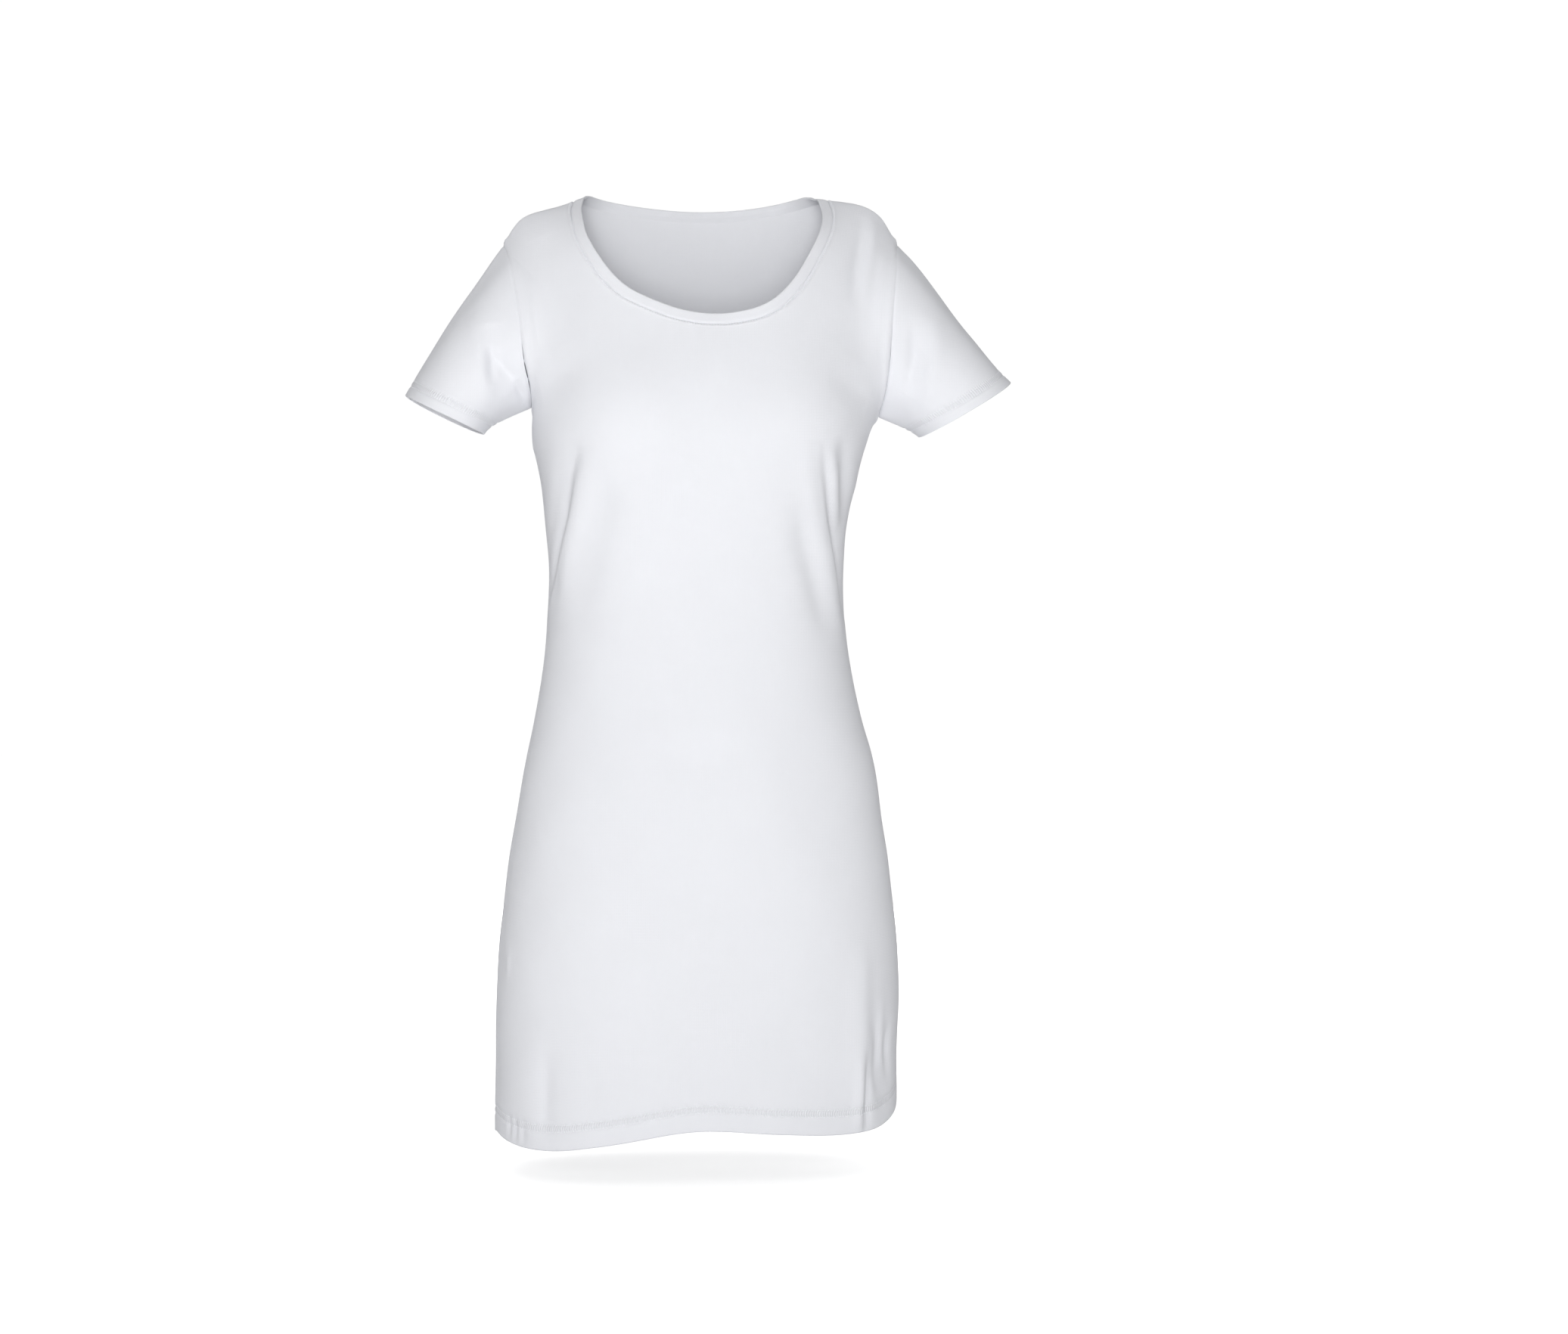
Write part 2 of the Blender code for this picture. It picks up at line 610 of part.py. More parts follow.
def grid_normals(name, grid):
    """Outward direction at each point of a grid."""
    up = np.gradient(grid, axis=0)
    if name in RINGS:
        across = (np.roll(grid, -1, axis=1) - np.roll(grid, 1, axis=1)) / 2
    else:
        across = np.gradient(grid, axis=1)
    out = np.cross(across, up)
    return unit(-out if name in TURNED else out)


def shared_normals(grids):
    """Outward directions, averaged where the points of two or more pieces meet."""
    own = {name: grid_normals(name, grid) for name, grid in grids.items()}
    vectors = np.concatenate([own[name].reshape(-1, 3) for name in grids])
    groups = same_points(list(grids.values()))[1]
    sums = np.zeros((groups.max() + 1, 3))
    np.add.at(sums, groups, vectors)
    averaged = unit(sums[groups])
    result = {}
    start = 0
    for name, grid in grids.items():
        count = grid.shape[0] * grid.shape[1]
        result[name] = averaged[start:start + count].reshape(grid.shape)
        start += count
    return result


def fold_lines(fine_grids, fine_normals):
    """Each fold's line laid on its piece: points, outward directions and sizes."""
    lines = []
    for row in FOLDS:
        fold = dict(zip(FOLD_COLUMNS, row))
        points = fine_grids[fold["piece"]].reshape(-1, 3)
        normals = fine_normals[fold["piece"]].reshape(-1, 3)
        if fold["piece"] in RINGS:
            faces_front = normals[:, 1] < 0
            points = points[faces_front]
            normals = normals[faces_front]
        keys = lengths_along(np.array([(x, 0.0, z) for x, z in fold["line"]]))
        route = smooth(keys, np.array(fold["line"]), np.linspace(0.0, keys[-1], 3 * len(keys)))
        laid = []
        outward = []
        for x, z in route:
            apart = (points[:, 0] - x) ** 2 + (points[:, 2] - z) ** 2
            near = np.argpartition(apart, 6)[:6]
            weights = 1 / (apart[near] + 1e-8)
            weights /= weights.sum()
            laid.append((x, weights @ points[near, 1], z))
            outward.append(weights @ normals[near])
        lines.append((np.array(laid), unit(np.array(outward)), fold))
    return lines


def fold_height(points, line):
    """How far one fold lifts each point of the cloth."""
    laid, outward, fold = line
    lengths = lengths_along(laid)
    best = np.full(len(points), np.inf)
    side = np.zeros(len(points))
    share = np.zeros(len(points))
    for index in range(len(laid) - 1):
        start = laid[index]
        along = laid[index + 1] - start
        span = float(along @ along)
        t = np.clip((points - start) @ along / span, 0.0, 1.0)
        offset = points - (start + t[:, None] * along)
        distance = np.linalg.norm(offset, axis=1)
        crosswise = unit(np.cross(outward[index], along))
        if crosswise[0] < 0:
            crosswise = -crosswise
        nearer = distance < best
        best = np.where(nearer, distance, best)
        side = np.where(nearer, np.sign(offset @ crosswise), side)
        share = np.where(nearer, (lengths[index] + t * np.sqrt(span)) / lengths[-1], share)
    reach = np.where(side < 0, fold["reach_right"], fold["reach_left"])
    across = side * best / reach
    hill = np.exp(-across * across)
    if fold["kind"] == "roll":
        hill = across * hill * math.sqrt(2 * math.e)
    ends = np.sin(math.pi * share) ** 0.8
    return fold["height"] * ends * hill


def swell_height(points, swell, fine_points):
    """How far one swell lifts each point of the cloth."""
    aside = fine_points[:, 0] - swell["x"]
    nearest = int(np.argmin(aside ** 2 + (fine_points[:, 2] - swell["z"]) ** 2))
    centre = np.array((swell["x"], fine_points[nearest, 1], swell["z"]))
    reach = np.array((swell["across"], swell["across"], swell["up"]))
    return swell["height"] * np.exp(-np.sum(((points - centre) / reach) ** 2, axis=1))


def shaped_grids():
    """Every piece's grid with its swells and folds."""
    base = base_grids()
    fine = fine_grids(base)
    grids = {}
    for name, grid in base.items():
        columns_at = np.arange(grid.shape[1], dtype=float)
        grids[name] = resampled(name, grid, wall_rows(name, grid.shape[0]), columns_at)
    normals = shared_normals(grids)
    lines = fold_lines(fine, shared_normals(fine))
    shaped = {}
    for name, grid in grids.items():
        points = grid.reshape(-1, 3)
        lift = np.zeros(len(points))
        for row in SWELLS:
            swell = dict(zip(SWELL_COLUMNS, row))
            lift += swell_height(points, swell, fine[swell["piece"]].reshape(-1, 3))
        for line in lines:
            lift += fold_height(points, line)
        shaped[name] = grid + normals[name] * lift.reshape(grid.shape[:2])[:, :, None]
    return shaped


def wall_thickness(name, grid):
    """Thickness of the wall at each row of a piece."""
    rows = grid.shape[0]
    if name == "neckband":
        return np.full(rows, BAND_WALL)
    thickness = np.full(rows, WALL)
    if name in RINGS:
        thickness[-2:] = HEM_WALL
    else:
        thickness[:2] = HEM_WALL
    return thickness


def drawn_back(name, outer, inner):
    """Both faces of a wall, with half the seam's gap taken off along every seam."""
    moved = np.zeros_like(outer)
    edges = [(0, 1)] if name in RINGS else [(-1, -2)]
    for edge, inside in edges:
        along = np.roll(outer[edge], -1, axis=0) - np.roll(outer[edge], 1, axis=0)
        if name not in RINGS:
            along = np.gradient(outer[edge], axis=0)
        moved[edge] += into_piece(outer[inside] - outer[edge], unit(along))
    if name not in RINGS:
        for edge, inside in ((0, 1), (-1, -2)):
            along = unit(np.gradient(outer[:, edge], axis=0))
            moved[:, edge] += into_piece(outer[:, inside] - outer[:, edge], along)
    return outer + moved, inner + moved


def into_piece(inside, along):
    """Half the seam's gap, square to the seam and into the piece."""
    square = inside - np.sum(inside * along, axis=1, keepdims=True) * along
    return unit(square) * SEAM_GAP / 2


def wall_mesh(name, outer, inner):
    """A closed wall between an outer and an inner grid."""
    rows, columns = outer.shape[:2]
    ring = name in RINGS
    points = np.concatenate((outer.reshape(-1, 3), inner.reshape(-1, 3)))
    layer = rows * columns
    spans = columns if ring else columns - 1
    faces = []
    for row in range(rows - 1):
        for column in range(spans):
            after = (column + 1) % columns
            corners = (row * columns + column, row * columns + after,
                       (row + 1) * columns + after, (row + 1) * columns + column)
            faces.append(corners)
            faces.append(tuple(layer + corner for corner in reversed(corners)))
    border = []
    for column in range(spans):
        after = (column + 1) % columns
        last = (rows - 1) * columns
        border.append((after, column))
        border.append((last + column, last + after))
    if not ring:
        for row in range(rows - 1):
            border.append((row * columns, (row + 1) * columns))
            border.append(((row + 2) * columns - 1, (row + 1) * columns - 1))
    for start, end in border:
        if points[start] @ RIM_ORDER < points[end] @ RIM_ORDER:
            faces.extend(((start, end, layer + end), (start, layer + end, layer + start)))
        else:
            faces.extend(((start, end, layer + start), (end, layer + end, layer + start)))
    if name in TURNED:
        faces = [tuple(reversed(face)) for face in faces]
    mesh = bpy.data.meshes.new(name)
    mesh.from_pydata([tuple(point) for point in points], [], faces)
    mesh.validate()
    mesh.shade_smooth()
    mesh.set_sharp_from_angle(angle=math.radians(50))
    return mesh


def jersey(name):
    """Plain white cotton jersey."""
    material = bpy.data.materials.new(name)
    material.use_nodes = True
    shader = material.node_tree.nodes["Principled BSDF"]
    shader.inputs["Base Color"].default_value = JERSEY_COLOUR
    shader.inputs["Roughness"].default_value = JERSEY_ROUGHNESS
    shader.inputs["Metallic"].default_value = 0.0
    return material


def main():
    for old in list(bpy.data.objects):
        bpy.data.objects.remove(old, do_unlink=True)
    dress = bpy.data.collections.new("tshirt_dress")
    bpy.context.scene.collection.children.link(dress)
    grids = shaped_grids()
    normals = shared_normals(grids)
    for name, outer in grids.items():
        thickness = wall_thickness(name, outer)[:, None, None]
        inner = outer - normals[name] * thickness
        outer, inner = drawn_back(name, outer, inner)
        piece = bpy.data.objects.new(name, wall_mesh(name, outer, inner))
        piece.data.materials.append(jersey(name + "_jersey"))
        dress.objects.link(piece)


main()
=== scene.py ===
"""The white jersey T-shirt dress, dressed for its photograph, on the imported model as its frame.

Each sewn piece is a thin shell of jersey on the form of its solid, with its creases, seams, hems and
stitching. Metres, +Z up. The front faces -Y and the wearer's right is at -X.
"""

import math

import bpy
import numpy as np
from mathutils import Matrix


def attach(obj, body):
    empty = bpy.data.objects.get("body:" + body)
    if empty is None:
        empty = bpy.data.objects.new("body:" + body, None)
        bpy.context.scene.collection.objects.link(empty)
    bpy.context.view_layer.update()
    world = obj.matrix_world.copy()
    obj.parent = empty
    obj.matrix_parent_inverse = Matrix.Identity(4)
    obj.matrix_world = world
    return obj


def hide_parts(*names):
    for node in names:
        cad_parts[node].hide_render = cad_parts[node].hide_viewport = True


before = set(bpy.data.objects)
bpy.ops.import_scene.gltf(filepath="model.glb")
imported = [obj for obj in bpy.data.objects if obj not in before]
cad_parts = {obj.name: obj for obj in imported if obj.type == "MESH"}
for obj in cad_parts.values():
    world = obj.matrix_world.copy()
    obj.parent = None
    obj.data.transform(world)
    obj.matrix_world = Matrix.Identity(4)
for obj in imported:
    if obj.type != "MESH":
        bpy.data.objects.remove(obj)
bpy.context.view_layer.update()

# The pieces. Rows of the rings close, and two of the grids run the other way round.
PANELS = ("front", "back")
SLEEVES = ("sleeve_right", "sleeve_left")
RINGS = SLEEVES + ("neckband",)
TURNED = ("back", "sleeve_left")

# Tables that say so are in millimetres
MM = 0.001

# Depths of the turned-up hems, and the width of the neckband
HEM_DEPTH = 0.025
CUFF_HEM_DEPTH = 0.017
CUFF_SPACING = 0.020
BAND_WIDTH = 0.0105

# The body is level sections from the hem up to the bust line, and settles between its seams above
HEM_LEVEL = -0.880
HEM_SHIFT_STARTS = -0.600
BUST_LINE = -0.240

# Steps of each grid. A panel's edge column runs up the side seam, the armhole and the shoulder.
# The body's rows close up below the bust line, by these shares of a full step.
BODY_STEPS = 21
CLOSING_STEPS = (0.88, 0.74, 0.60, 0.47, 0.36, 0.27)
UNDERARM_STEPS = 2
ARMHOLE_STEPS = 10
SHOULDER_STEPS = 5
NECK_STEPS = {"front": 28, "back": 24}
SLEEVE_STEPS = 8
BAND_STEPS = 2
LOOP_POINTS = 720
HELD_ROWS = 2

# Points of a grid that give a fold's line its depth, and how softly the fold's ends fade
NEAREST = 6
END_POWER = 0.8

# How firmly the armholes and the neck hold their depth as the cloth settles, against its stiffness
SEAM_HOLD = 30.0
SETTLE_TURNS = 3
SPREAD_TURNS = 3

# Rows of a panel where its underarm and its shoulder tip lie
UNDERARM_ROW = BODY_STEPS + UNDERARM_STEPS
SHOULDER_TIP_ROW = UNDERARM_ROW + ARMHOLE_STEPS

# How far a sleeve leaves its seam in the tangent plane there, from 0, straight, to 1, and how hard
SLEEVE_EASE = 0.34
SLEEVE_PULL = 0.75

# Level sections of the body: height, side seams' x before they turn and depths, in millimetres, squareness
# front and back, and the turn of each side seam from the widest point, in radians, plus towards the front
SECTION_COLUMNS = (
    "z", "right", "left", "front", "back", "front_power", "back_power", "turn_right", "turn_left",
)
SECTIONS = (
    (-900, -193.5, 188, -126, 117, 2.45, 2.40, 0.14, -0.08),
    (-840, -192.8, 188, -124.5, 119, 2.45, 2.40, 0.14, -0.08),
    (-779, -192, 189.8, -122.5, 120, 2.45, 2.40, 0.14, -0.08),
    (-714, -189.8, 187.6, -120, 121.5, 2.45, 2.35, 0.13, -0.08),
    (-657, -183.5, 182.5, -117, 122.5, 2.40, 2.30, 0.12, -0.07),
    (-599, -174.7, 175, -113, 121.5, 2.35, 2.25, 0.10, -0.06),
    (-541, -164.5, 166.5, -108.5, 115, 2.30, 2.20, 0.08, -0.05),
    (-484, -153.6, 151.5, -103.5, 102, 2.30, 2.20, 0.06, -0.03),
    (-440, -146.5, 143, -100, 90.5, 2.30, 2.20, 0.05, -0.02),
    (-397, -143, 138.5, -98.5, 83, 2.30, 2.20, 0.04, -0.01),
    (-354, -142.5, 137.2, -100.5, 81, 2.35, 2.20, 0.03, 0.00),
    (-311, -145.7, 140.4, -106.5, 85, 2.45, 2.25, 0.03, 0.00),
    (-282, -149, 147.8, -111.5, 89, 2.50, 2.30, 0.02, 0.00),
    (-255, -154, 153.3, -115, 92.5, 2.55, 2.35, 0.02, 0.00),
    (-230, -160, 161, -116.5, 95, 2.60, 2.40, 0.02, 0.00),
)

# Height of the hem in millimetres, by the share of the panel's width from the right side seam
HEM_COLUMNS = ("share", "front", "back")
HEM_LINE = (
    (0.00, -884.8, -884.8), (0.11, -892.8, -891.5), (0.18, -893.6, -892), (0.277, -887.5, -889.5),
    (0.46, -873.5, -884), (0.585, -877.5, -880), (0.745, -881.2, -875),
    (0.80, -879.5, -872), (0.844, -875, -869), (0.89, -868, -865), (0.95, -856.2, -858),
    (1.00, -850.5, -850.5),
)

# Seam lines as points in x, y and z, in millimetres.
# An armhole runs from the underarm up the front to the shoulder tip, and down the back again.
TIP_ROW = 6
ARMHOLES = {
    "right": (
        (-156.5, -4, -203), (-160.5, -30, -187), (-165.5, -47, -169), (-169, -55, -142), (-173, -51, -110),
        (-179.5, -31, -73.5), (-185, 4, -49.5), (-182.5, 38, -68), (-177.5, 58, -104), (-173, 62, -143),
        (-165, 44, -178), (-156.5, -4, -203),
    ),
    "left": (
        (170, -4, -210), (174.5, -26, -193), (177, -42, -169), (178.5, -52, -139), (181.5, -50, -100),
        (186.8, -30, -64), (190.5, 4, -44), (188.5, 38, -62), (184.5, 58, -98), (181, 62, -140),
        (176.5, 44, -180), (170, -4, -210),
    ),
}

# A shoulder seam runs from the shoulder tip to the neck
SHOULDERS = {
    "right": (
        (-185, 4, -49.5), (-177.5, 5, -34.5), (-169, 6, -24.2), (-159, 7, -19), (-144, 7, -15),
        (-119.5, 8, -6.5),
    ),
    "left": (
        (190.5, 4, -44), (183, 5, -30), (174.5, 6, -18), (165.5, 7, -10.5), (152, 7, -5.8),
        (124.5, 8, -2.6),
    ),
}

# The neck seams run from the right shoulder to the left one
FRONT_NECK = (
    (-119.5, 8, -6.5), (-122.3, -10, -17), (-120.9, -28, -31.3), (-117.4, -44, -48.4), (-108.7, -57, -66.7),
    (-92.3, -70, -90.8), (-81, -75, -102.2), (-49.9, -84, -119.2), (-18.7, -89, -129.4),
    (7.8, -90.5, -132.1), (37.3, -89.5, -129.3), (62.2, -86, -121.3), (81.8, -79, -106.2),
    (95.7, -71, -89.3), (106.2, -62, -72.1), (117.5, -49, -51), (124, -34, -34.5), (126.5, -14, -17.5),
    (124.5, 8, -2.6),
)
BACK_NECK = (
    (-119.5, 8, -6.5), (-113, 33, -4.5), (-93, 56, -8), (-52, 71, -13), (2, 77, -15.8), (56, 71, -13),
    (97, 56, -6.2), (118, 33, -1.4), (124.5, 8, -2.6),
)

# Each cuff is a tilted oval: x and z of its outer point and of its heel under the arm, its front and
# back y, and the direction in which the cloth leaves it. Its front edge hangs lower.
CUFF_COLUMNS = ("outer", "heel", "front", "back", "leaves")
CUFFS = {
    "right": ((-0.2780, -0.1930), (-0.2035, -0.2290), -0.060, 0.052, (-0.50, 0.0, -0.87)),
    "left": ((0.2990, -0.1760), (0.2120, -0.2290), -0.056, 0.048, (0.76, 0.0, -0.65)),
}
CUFF_POWER = 2.15
CUFF_DROP = 0.004

# Rounded swells of the cloth: piece, centre x and z, reach across and up, and height, in millimetres
SWELLS = (
    ("front", -82, -206, 54, 60, 6.5), ("front", 94, -208, 52, 60, 6.5), ("front", 0, -560, 85, 110, 4),
    ("back", -85, -130, 55, 60, 4), ("back", 85, -130, 55, 60, 4),
    ("back", -70, -600, 60, 70, 3.5), ("back", 70, -600, 60, 70, 3.5),
)

# The largest folds, by piece and kind: a roll has a hill on one side and a trough on the other. Height,
# reach on the wearer's right and left of the line, and the line's points in x and z, in millimetres
FOLDS = {
    ("front", "roll"): (
        (3.4, 16, 13, ((-107, -243), (-115, -270), (-121, -298), (-130, -340), (-136, -385))),
        (-4, 12, 14, ((118, -235), (124, -262), (128, -292), (131, -322))),
        (-3.6, 14, 16, ((100, -238), (106, -280), (118, -330), (129, -380), (136, -415))),
    ),
    ("front", "hill"): (
        (-3, 20, 16, ((-88, -270), (-95, -310), (-106, -360), (-122, -415))),
        (-2.6, 14, 18, ((85, -295), (94, -335), (107, -385), (120, -430))),
        (-3, 16, 22, ((-152, -45), (-140, -95), (-126, -150))),
        (-2.8, 20, 14, ((158, -35), (148, -95), (138, -160))),
        (3, 16, 10, ((147, -700), (146, -790), (145, -885))),
        (-2.6, 12, 14, ((165, -760), (167, -820), (168, -880))),
        (-2.2, 14, 20, ((-142, -780), (-146, -840), (-147, -892))),
    ),
    ("back", "roll"): (
        (3.4, 16, 14, ((-100, -250), (-112, -300), (-122, -350))),
        (-3.4, 14, 16, ((98, -245), (110, -295), (120, -345))),
    ),
    ("back", "hill"): (
        (-3, 22, 20, ((-50, -300), (0, -330), (55, -315))),
        (-2.6, 18, 18, ((-70, -365), (-5, -385), (60, -372))),
    ),
    ("sleeve_right", "hill"): (
        (-4, 12, 11, ((-196, -130), (-192, -165), (-183, -195))),
        (-3, 10, 10, ((-178, -150), (-176, -178), (-170, -198))),
    ),
    ("sleeve_left", "hill"): (
        (-3.6, 11, 12, ((205, -120), (203, -160), (198, -195))),
    ),
}


def table(names, rows):
    """Rows of a table as one array for each named column."""
    return {name: np.array([row[place] for row in rows]) for place, name in enumerate(names)}


def smooth(keys, values, at):
    """Cubic curve through a table's rows. The slope at a row is that of its neighbours."""
    keys = np.asarray(keys, float)
    values = np.asarray(values, float)
    at = np.clip(np.asarray(at, float), keys[0], keys[-1])
    slopes = np.gradient(values, keys, axis=0)
    start = np.clip(np.searchsorted(keys, at, side="right") - 1, 0, len(keys) - 2)
    span = keys[start + 1] - keys[start]
    t = (at - keys[start]) / span
    if values.ndim > 1:
        t = t[..., None]
        span = span[..., None]
    return hermite(values[start], slopes[start] * span, values[start + 1], slopes[start + 1] * span, t)


def hermite(start, start_pull, end, end_pull, t):
    """Cubic from start to end with the given pulls at its two ends."""
    t2 = t * t
    t3 = t2 * t
    first = (2 * t3 - 3 * t2 + 1) * start + (t3 - 2 * t2 + t) * start_pull
    return first + (3 * t2 - 2 * t3) * end + (t3 - t2) * end_pull


def unit(vectors):
    """Vectors at length one."""
    return vectors / np.maximum(np.linalg.norm(vectors, axis=-1, keepdims=True), 1e-12)


def ramp(value, low, high):
    """Soft step from 0 at low to 1 at high."""
    t = np.clip((value - low) / (high - low), 0.0, 1.0)
    return t * t * (3 - 2 * t)


def lengths_along(points, axis=0):
    """Length from the start to each point, along a line or along one axis of a grid."""
    steps = np.linalg.norm(np.diff(points, axis=axis), axis=-1)
    return np.insert(np.cumsum(steps, axis=axis), 0, 0.0, axis=axis)


def even(points, shares):
    """Points of a line at shares of its length."""
    lengths = lengths_along(points)
    wanted = np.asarray(shares) * lengths[-1]
    return np.stack([np.interp(wanted, lengths, points[:, axis]) for axis in range(3)], axis=1)


def seam_line(rows, steps):
    """Points along a seam, evenly spaced."""
    rows = np.array(rows) * MM
    keys = lengths_along(rows)
    fine = smooth(keys, rows, np.linspace(0.0, keys[-1], LOOP_POINTS))
    line = even(fine, np.linspace(0.0, 1.0, steps + 1))
    line[[0, -1]] = rows[[0, -1]]
    return line


def section_row(z, shares, panel):
    """Points of a level section across one panel, from the right side seam to the left one."""
    columns = table(SECTION_COLUMNS, SECTIONS)
    size = {name: float(smooth(columns["z"] * MM, columns[name], z)) for name in SECTION_COLUMNS[1:]}
    half_turn = math.pi if panel == "front" else -math.pi
    angles = np.linspace(size["turn_right"], half_turn - size["turn_left"], LOOP_POINTS)
    middle = (size["right"] + size["left"]) / 2 * MM
    half = (size["left"] - size["right"]) / 2 * MM
    cosine = np.cos(angles)
    sine = np.sin(angles)
    power = np.where(sine > 0, size["front_power"], size["back_power"])
    depth = np.where(sine > 0, size["front"], -size["back"]) * MM
    x = middle - half * np.sign(cosine) * np.abs(cosine) ** (2 / power)
    y = depth * np.sign(sine) * np.abs(sine) ** (2 / power)
    return even(np.stack([x, y, np.full_like(x, z)], axis=1), shares)


def body_levels():
    """Levels of the body's rows, from the hem up to the bust line."""
    steps = np.concatenate((np.ones(BODY_STEPS - len(CLOSING_STEPS)), CLOSING_STEPS))
    shares = np.concatenate(((0.0,), np.cumsum(steps) / steps.sum()))
    return HEM_LEVEL + (BUST_LINE - HEM_LEVEL) * shares


def armhole_half(side, panel):
    """An armhole's front or back half, from the underarm to the shoulder tip."""
    rows = ARMHOLES[side][: TIP_ROW + 1] if panel == "front" else ARMHOLES[side][TIP_ROW:][::-1]
    return seam_line(rows, ARMHOLE_STEPS)


def edge_column(side, panel, start):
    """A panel's edge above the bust line: side seam, armhole and shoulder."""
    armhole = armhole_half(side, panel)
    shares = np.linspace(0.0, 1.0, UNDERARM_STEPS + 1)[:, None]
    seam = start * (1 - shares) + armhole[0] * shares
    return np.concatenate((seam, armhole[1:], seam_line(SHOULDERS[side], SHOULDER_STEPS)[1:]))


def panel_grid(panel):
    """Points of the front or the back: rows from the hem up to the neck, columns from right to left."""
    shares = np.linspace(0.0, 1.0, NECK_STEPS[panel] + 1)
    levels = body_levels()
    body = np.stack([section_row(level, shares, panel) for level in levels])
    hem = table(HEM_COLUMNS, HEM_LINE)
    shift = smooth(hem["share"], hem[panel] * MM, shares) - HEM_LEVEL
    body[:, :, 2] += shift[None, :] * (1 - ramp(levels, HEM_LEVEL, HEM_SHIFT_STARTS))[:, None]

    right = edge_column("right", panel, body[-1, 0])[:, None]
    left = edge_column("left", panel, body[-1, -1])[:, None]
    top = seam_line(FRONT_NECK if panel == "front" else BACK_NECK, NECK_STEPS[panel])[None]
    low = body[-1][None]
    climbs = [(edge[:, 0, 2] - edge[0, 0, 2]) / (edge[-1, 0, 2] - edge[0, 0, 2]) for edge in (right, left)]
    up = ((climbs[0] + climbs[1]) / 2)[:, None, None]
    across = shares[None, :, None]
    chest = low * (1 - up) + top * up
    chest += (right - low[:, :1] * (1 - up) - top[:, :1] * up) * (1 - across) ** 3
    chest += (left - low[:, -1:] * (1 - up) - top[:, -1:] * up) * across ** 3
    return np.concatenate((body, chest[1:]))


def same_points(grids):
    """All points of the grids, and for each the number of the place that it shares with others."""
    points = np.concatenate([grid.reshape(-1, 3) for grid in grids])
    keys = np.round(points * 1e5).astype(np.int64)
    return points, np.unique(keys, axis=0, return_inverse=True)[1].ravel()


def bending(place, cells):
    """Matrix that gives how much the cloth bends at each point, from the angles of its cells."""
    bend = np.zeros((len(place), len(place)))
    area = np.zeros(len(place))
    for corners in ((0, 1, 2), (0, 2, 3), (0, 1, 3), (1, 2, 3)):
        triangles = cells[:, corners]
        for turn in range(3):
            one, other, apex = (triangles[:, (turn + step) % 3] for step in range(3))
            first = place[one] - place[apex]
            second = place[other] - place[apex]
            doubled = np.linalg.norm(np.cross(first, second), axis=1)
            weight = np.sum(first * second, axis=1) / np.maximum(doubled, 1e-9) / 4
            np.add.at(bend, (one, other), weight)
            np.add.at(bend, (other, one), weight)
            np.add.at(bend, (one, one), -weight)
            np.add.at(bend, (other, other), -weight)
            np.add.at(area, apex, doubled / 12)
    return bend / np.sqrt(area)[:, None]


def fair_chest(front, back):
    """Settle the chest and the upper back as the smoothest cloth between the seams and the body.

    The armholes and the neck keep their outline seen from the front, and their depth gives way.
    """
    first = BODY_STEPS - HELD_ROWS
    underarm = UNDERARM_ROW - first
    tip = SHOULDER_TIP_ROW - first
    parts = (front[first:], back[first:])
    points, numbers = same_points(parts)
    place = np.zeros((numbers.max() + 1, 3))
    place[numbers] = points
    body, seam, corner, no_bend = np.zeros((4, len(place)), bool)
    split = [parts[0].size // 3]
    cells = []
    for part, own in zip(parts, np.split(numbers, split)):
        ids = own.reshape(part.shape[:2])
        edges = ids[:, (0, -1)]
        body[ids[:HELD_ROWS + 1]] = True
        seam[ids[-1]] = True
        seam[edges[underarm:]] = True
        corner[edges[(underarm, tip, -1), :]] = True
        no_bend[ids[(0, -1), :]] = True
        no_bend[edges[underarm:tip + 1]] = True
        corners = (ids[:-1, :-1], ids[:-1, 1:], ids[1:, 1:], ids[1:, :-1])
        cells.append(np.stack(corners, axis=-1).reshape(-1, 4))
    cells = np.concatenate(cells)
    table_place = place.copy()
    ties = ((0, body | seam, 0.0), (1, body | corner, SEAM_HOLD), (2, body | seam, 0.0))
    for _ in range(SETTLE_TURNS):
        bend = bending(place, cells)[~no_bend]
        for axis, fixed, hold in ties:
            loose = bend[:, ~fixed]
            wanted = -bend[:, fixed] @ place[fixed, axis]
            pull = hold ** 2 * (seam & no_bend)[~fixed]
            stiff = loose.T @ loose + np.diag(pull)
            place[~fixed, axis] = np.linalg.solve(stiff, loose.T @ wanted + pull * table_place[~fixed, axis])
    for part, settled in zip(parts, np.split(place[numbers], split)):
        part[:] = settled.reshape(part.shape)


def spread(directions):
    """Directions round a ring, evened out between neighbours."""
    for _ in range(SPREAD_TURNS):
        directions = unit(np.roll(directions, 1, axis=0) + 2 * directions + np.roll(directions, -1, axis=0))
    return directions


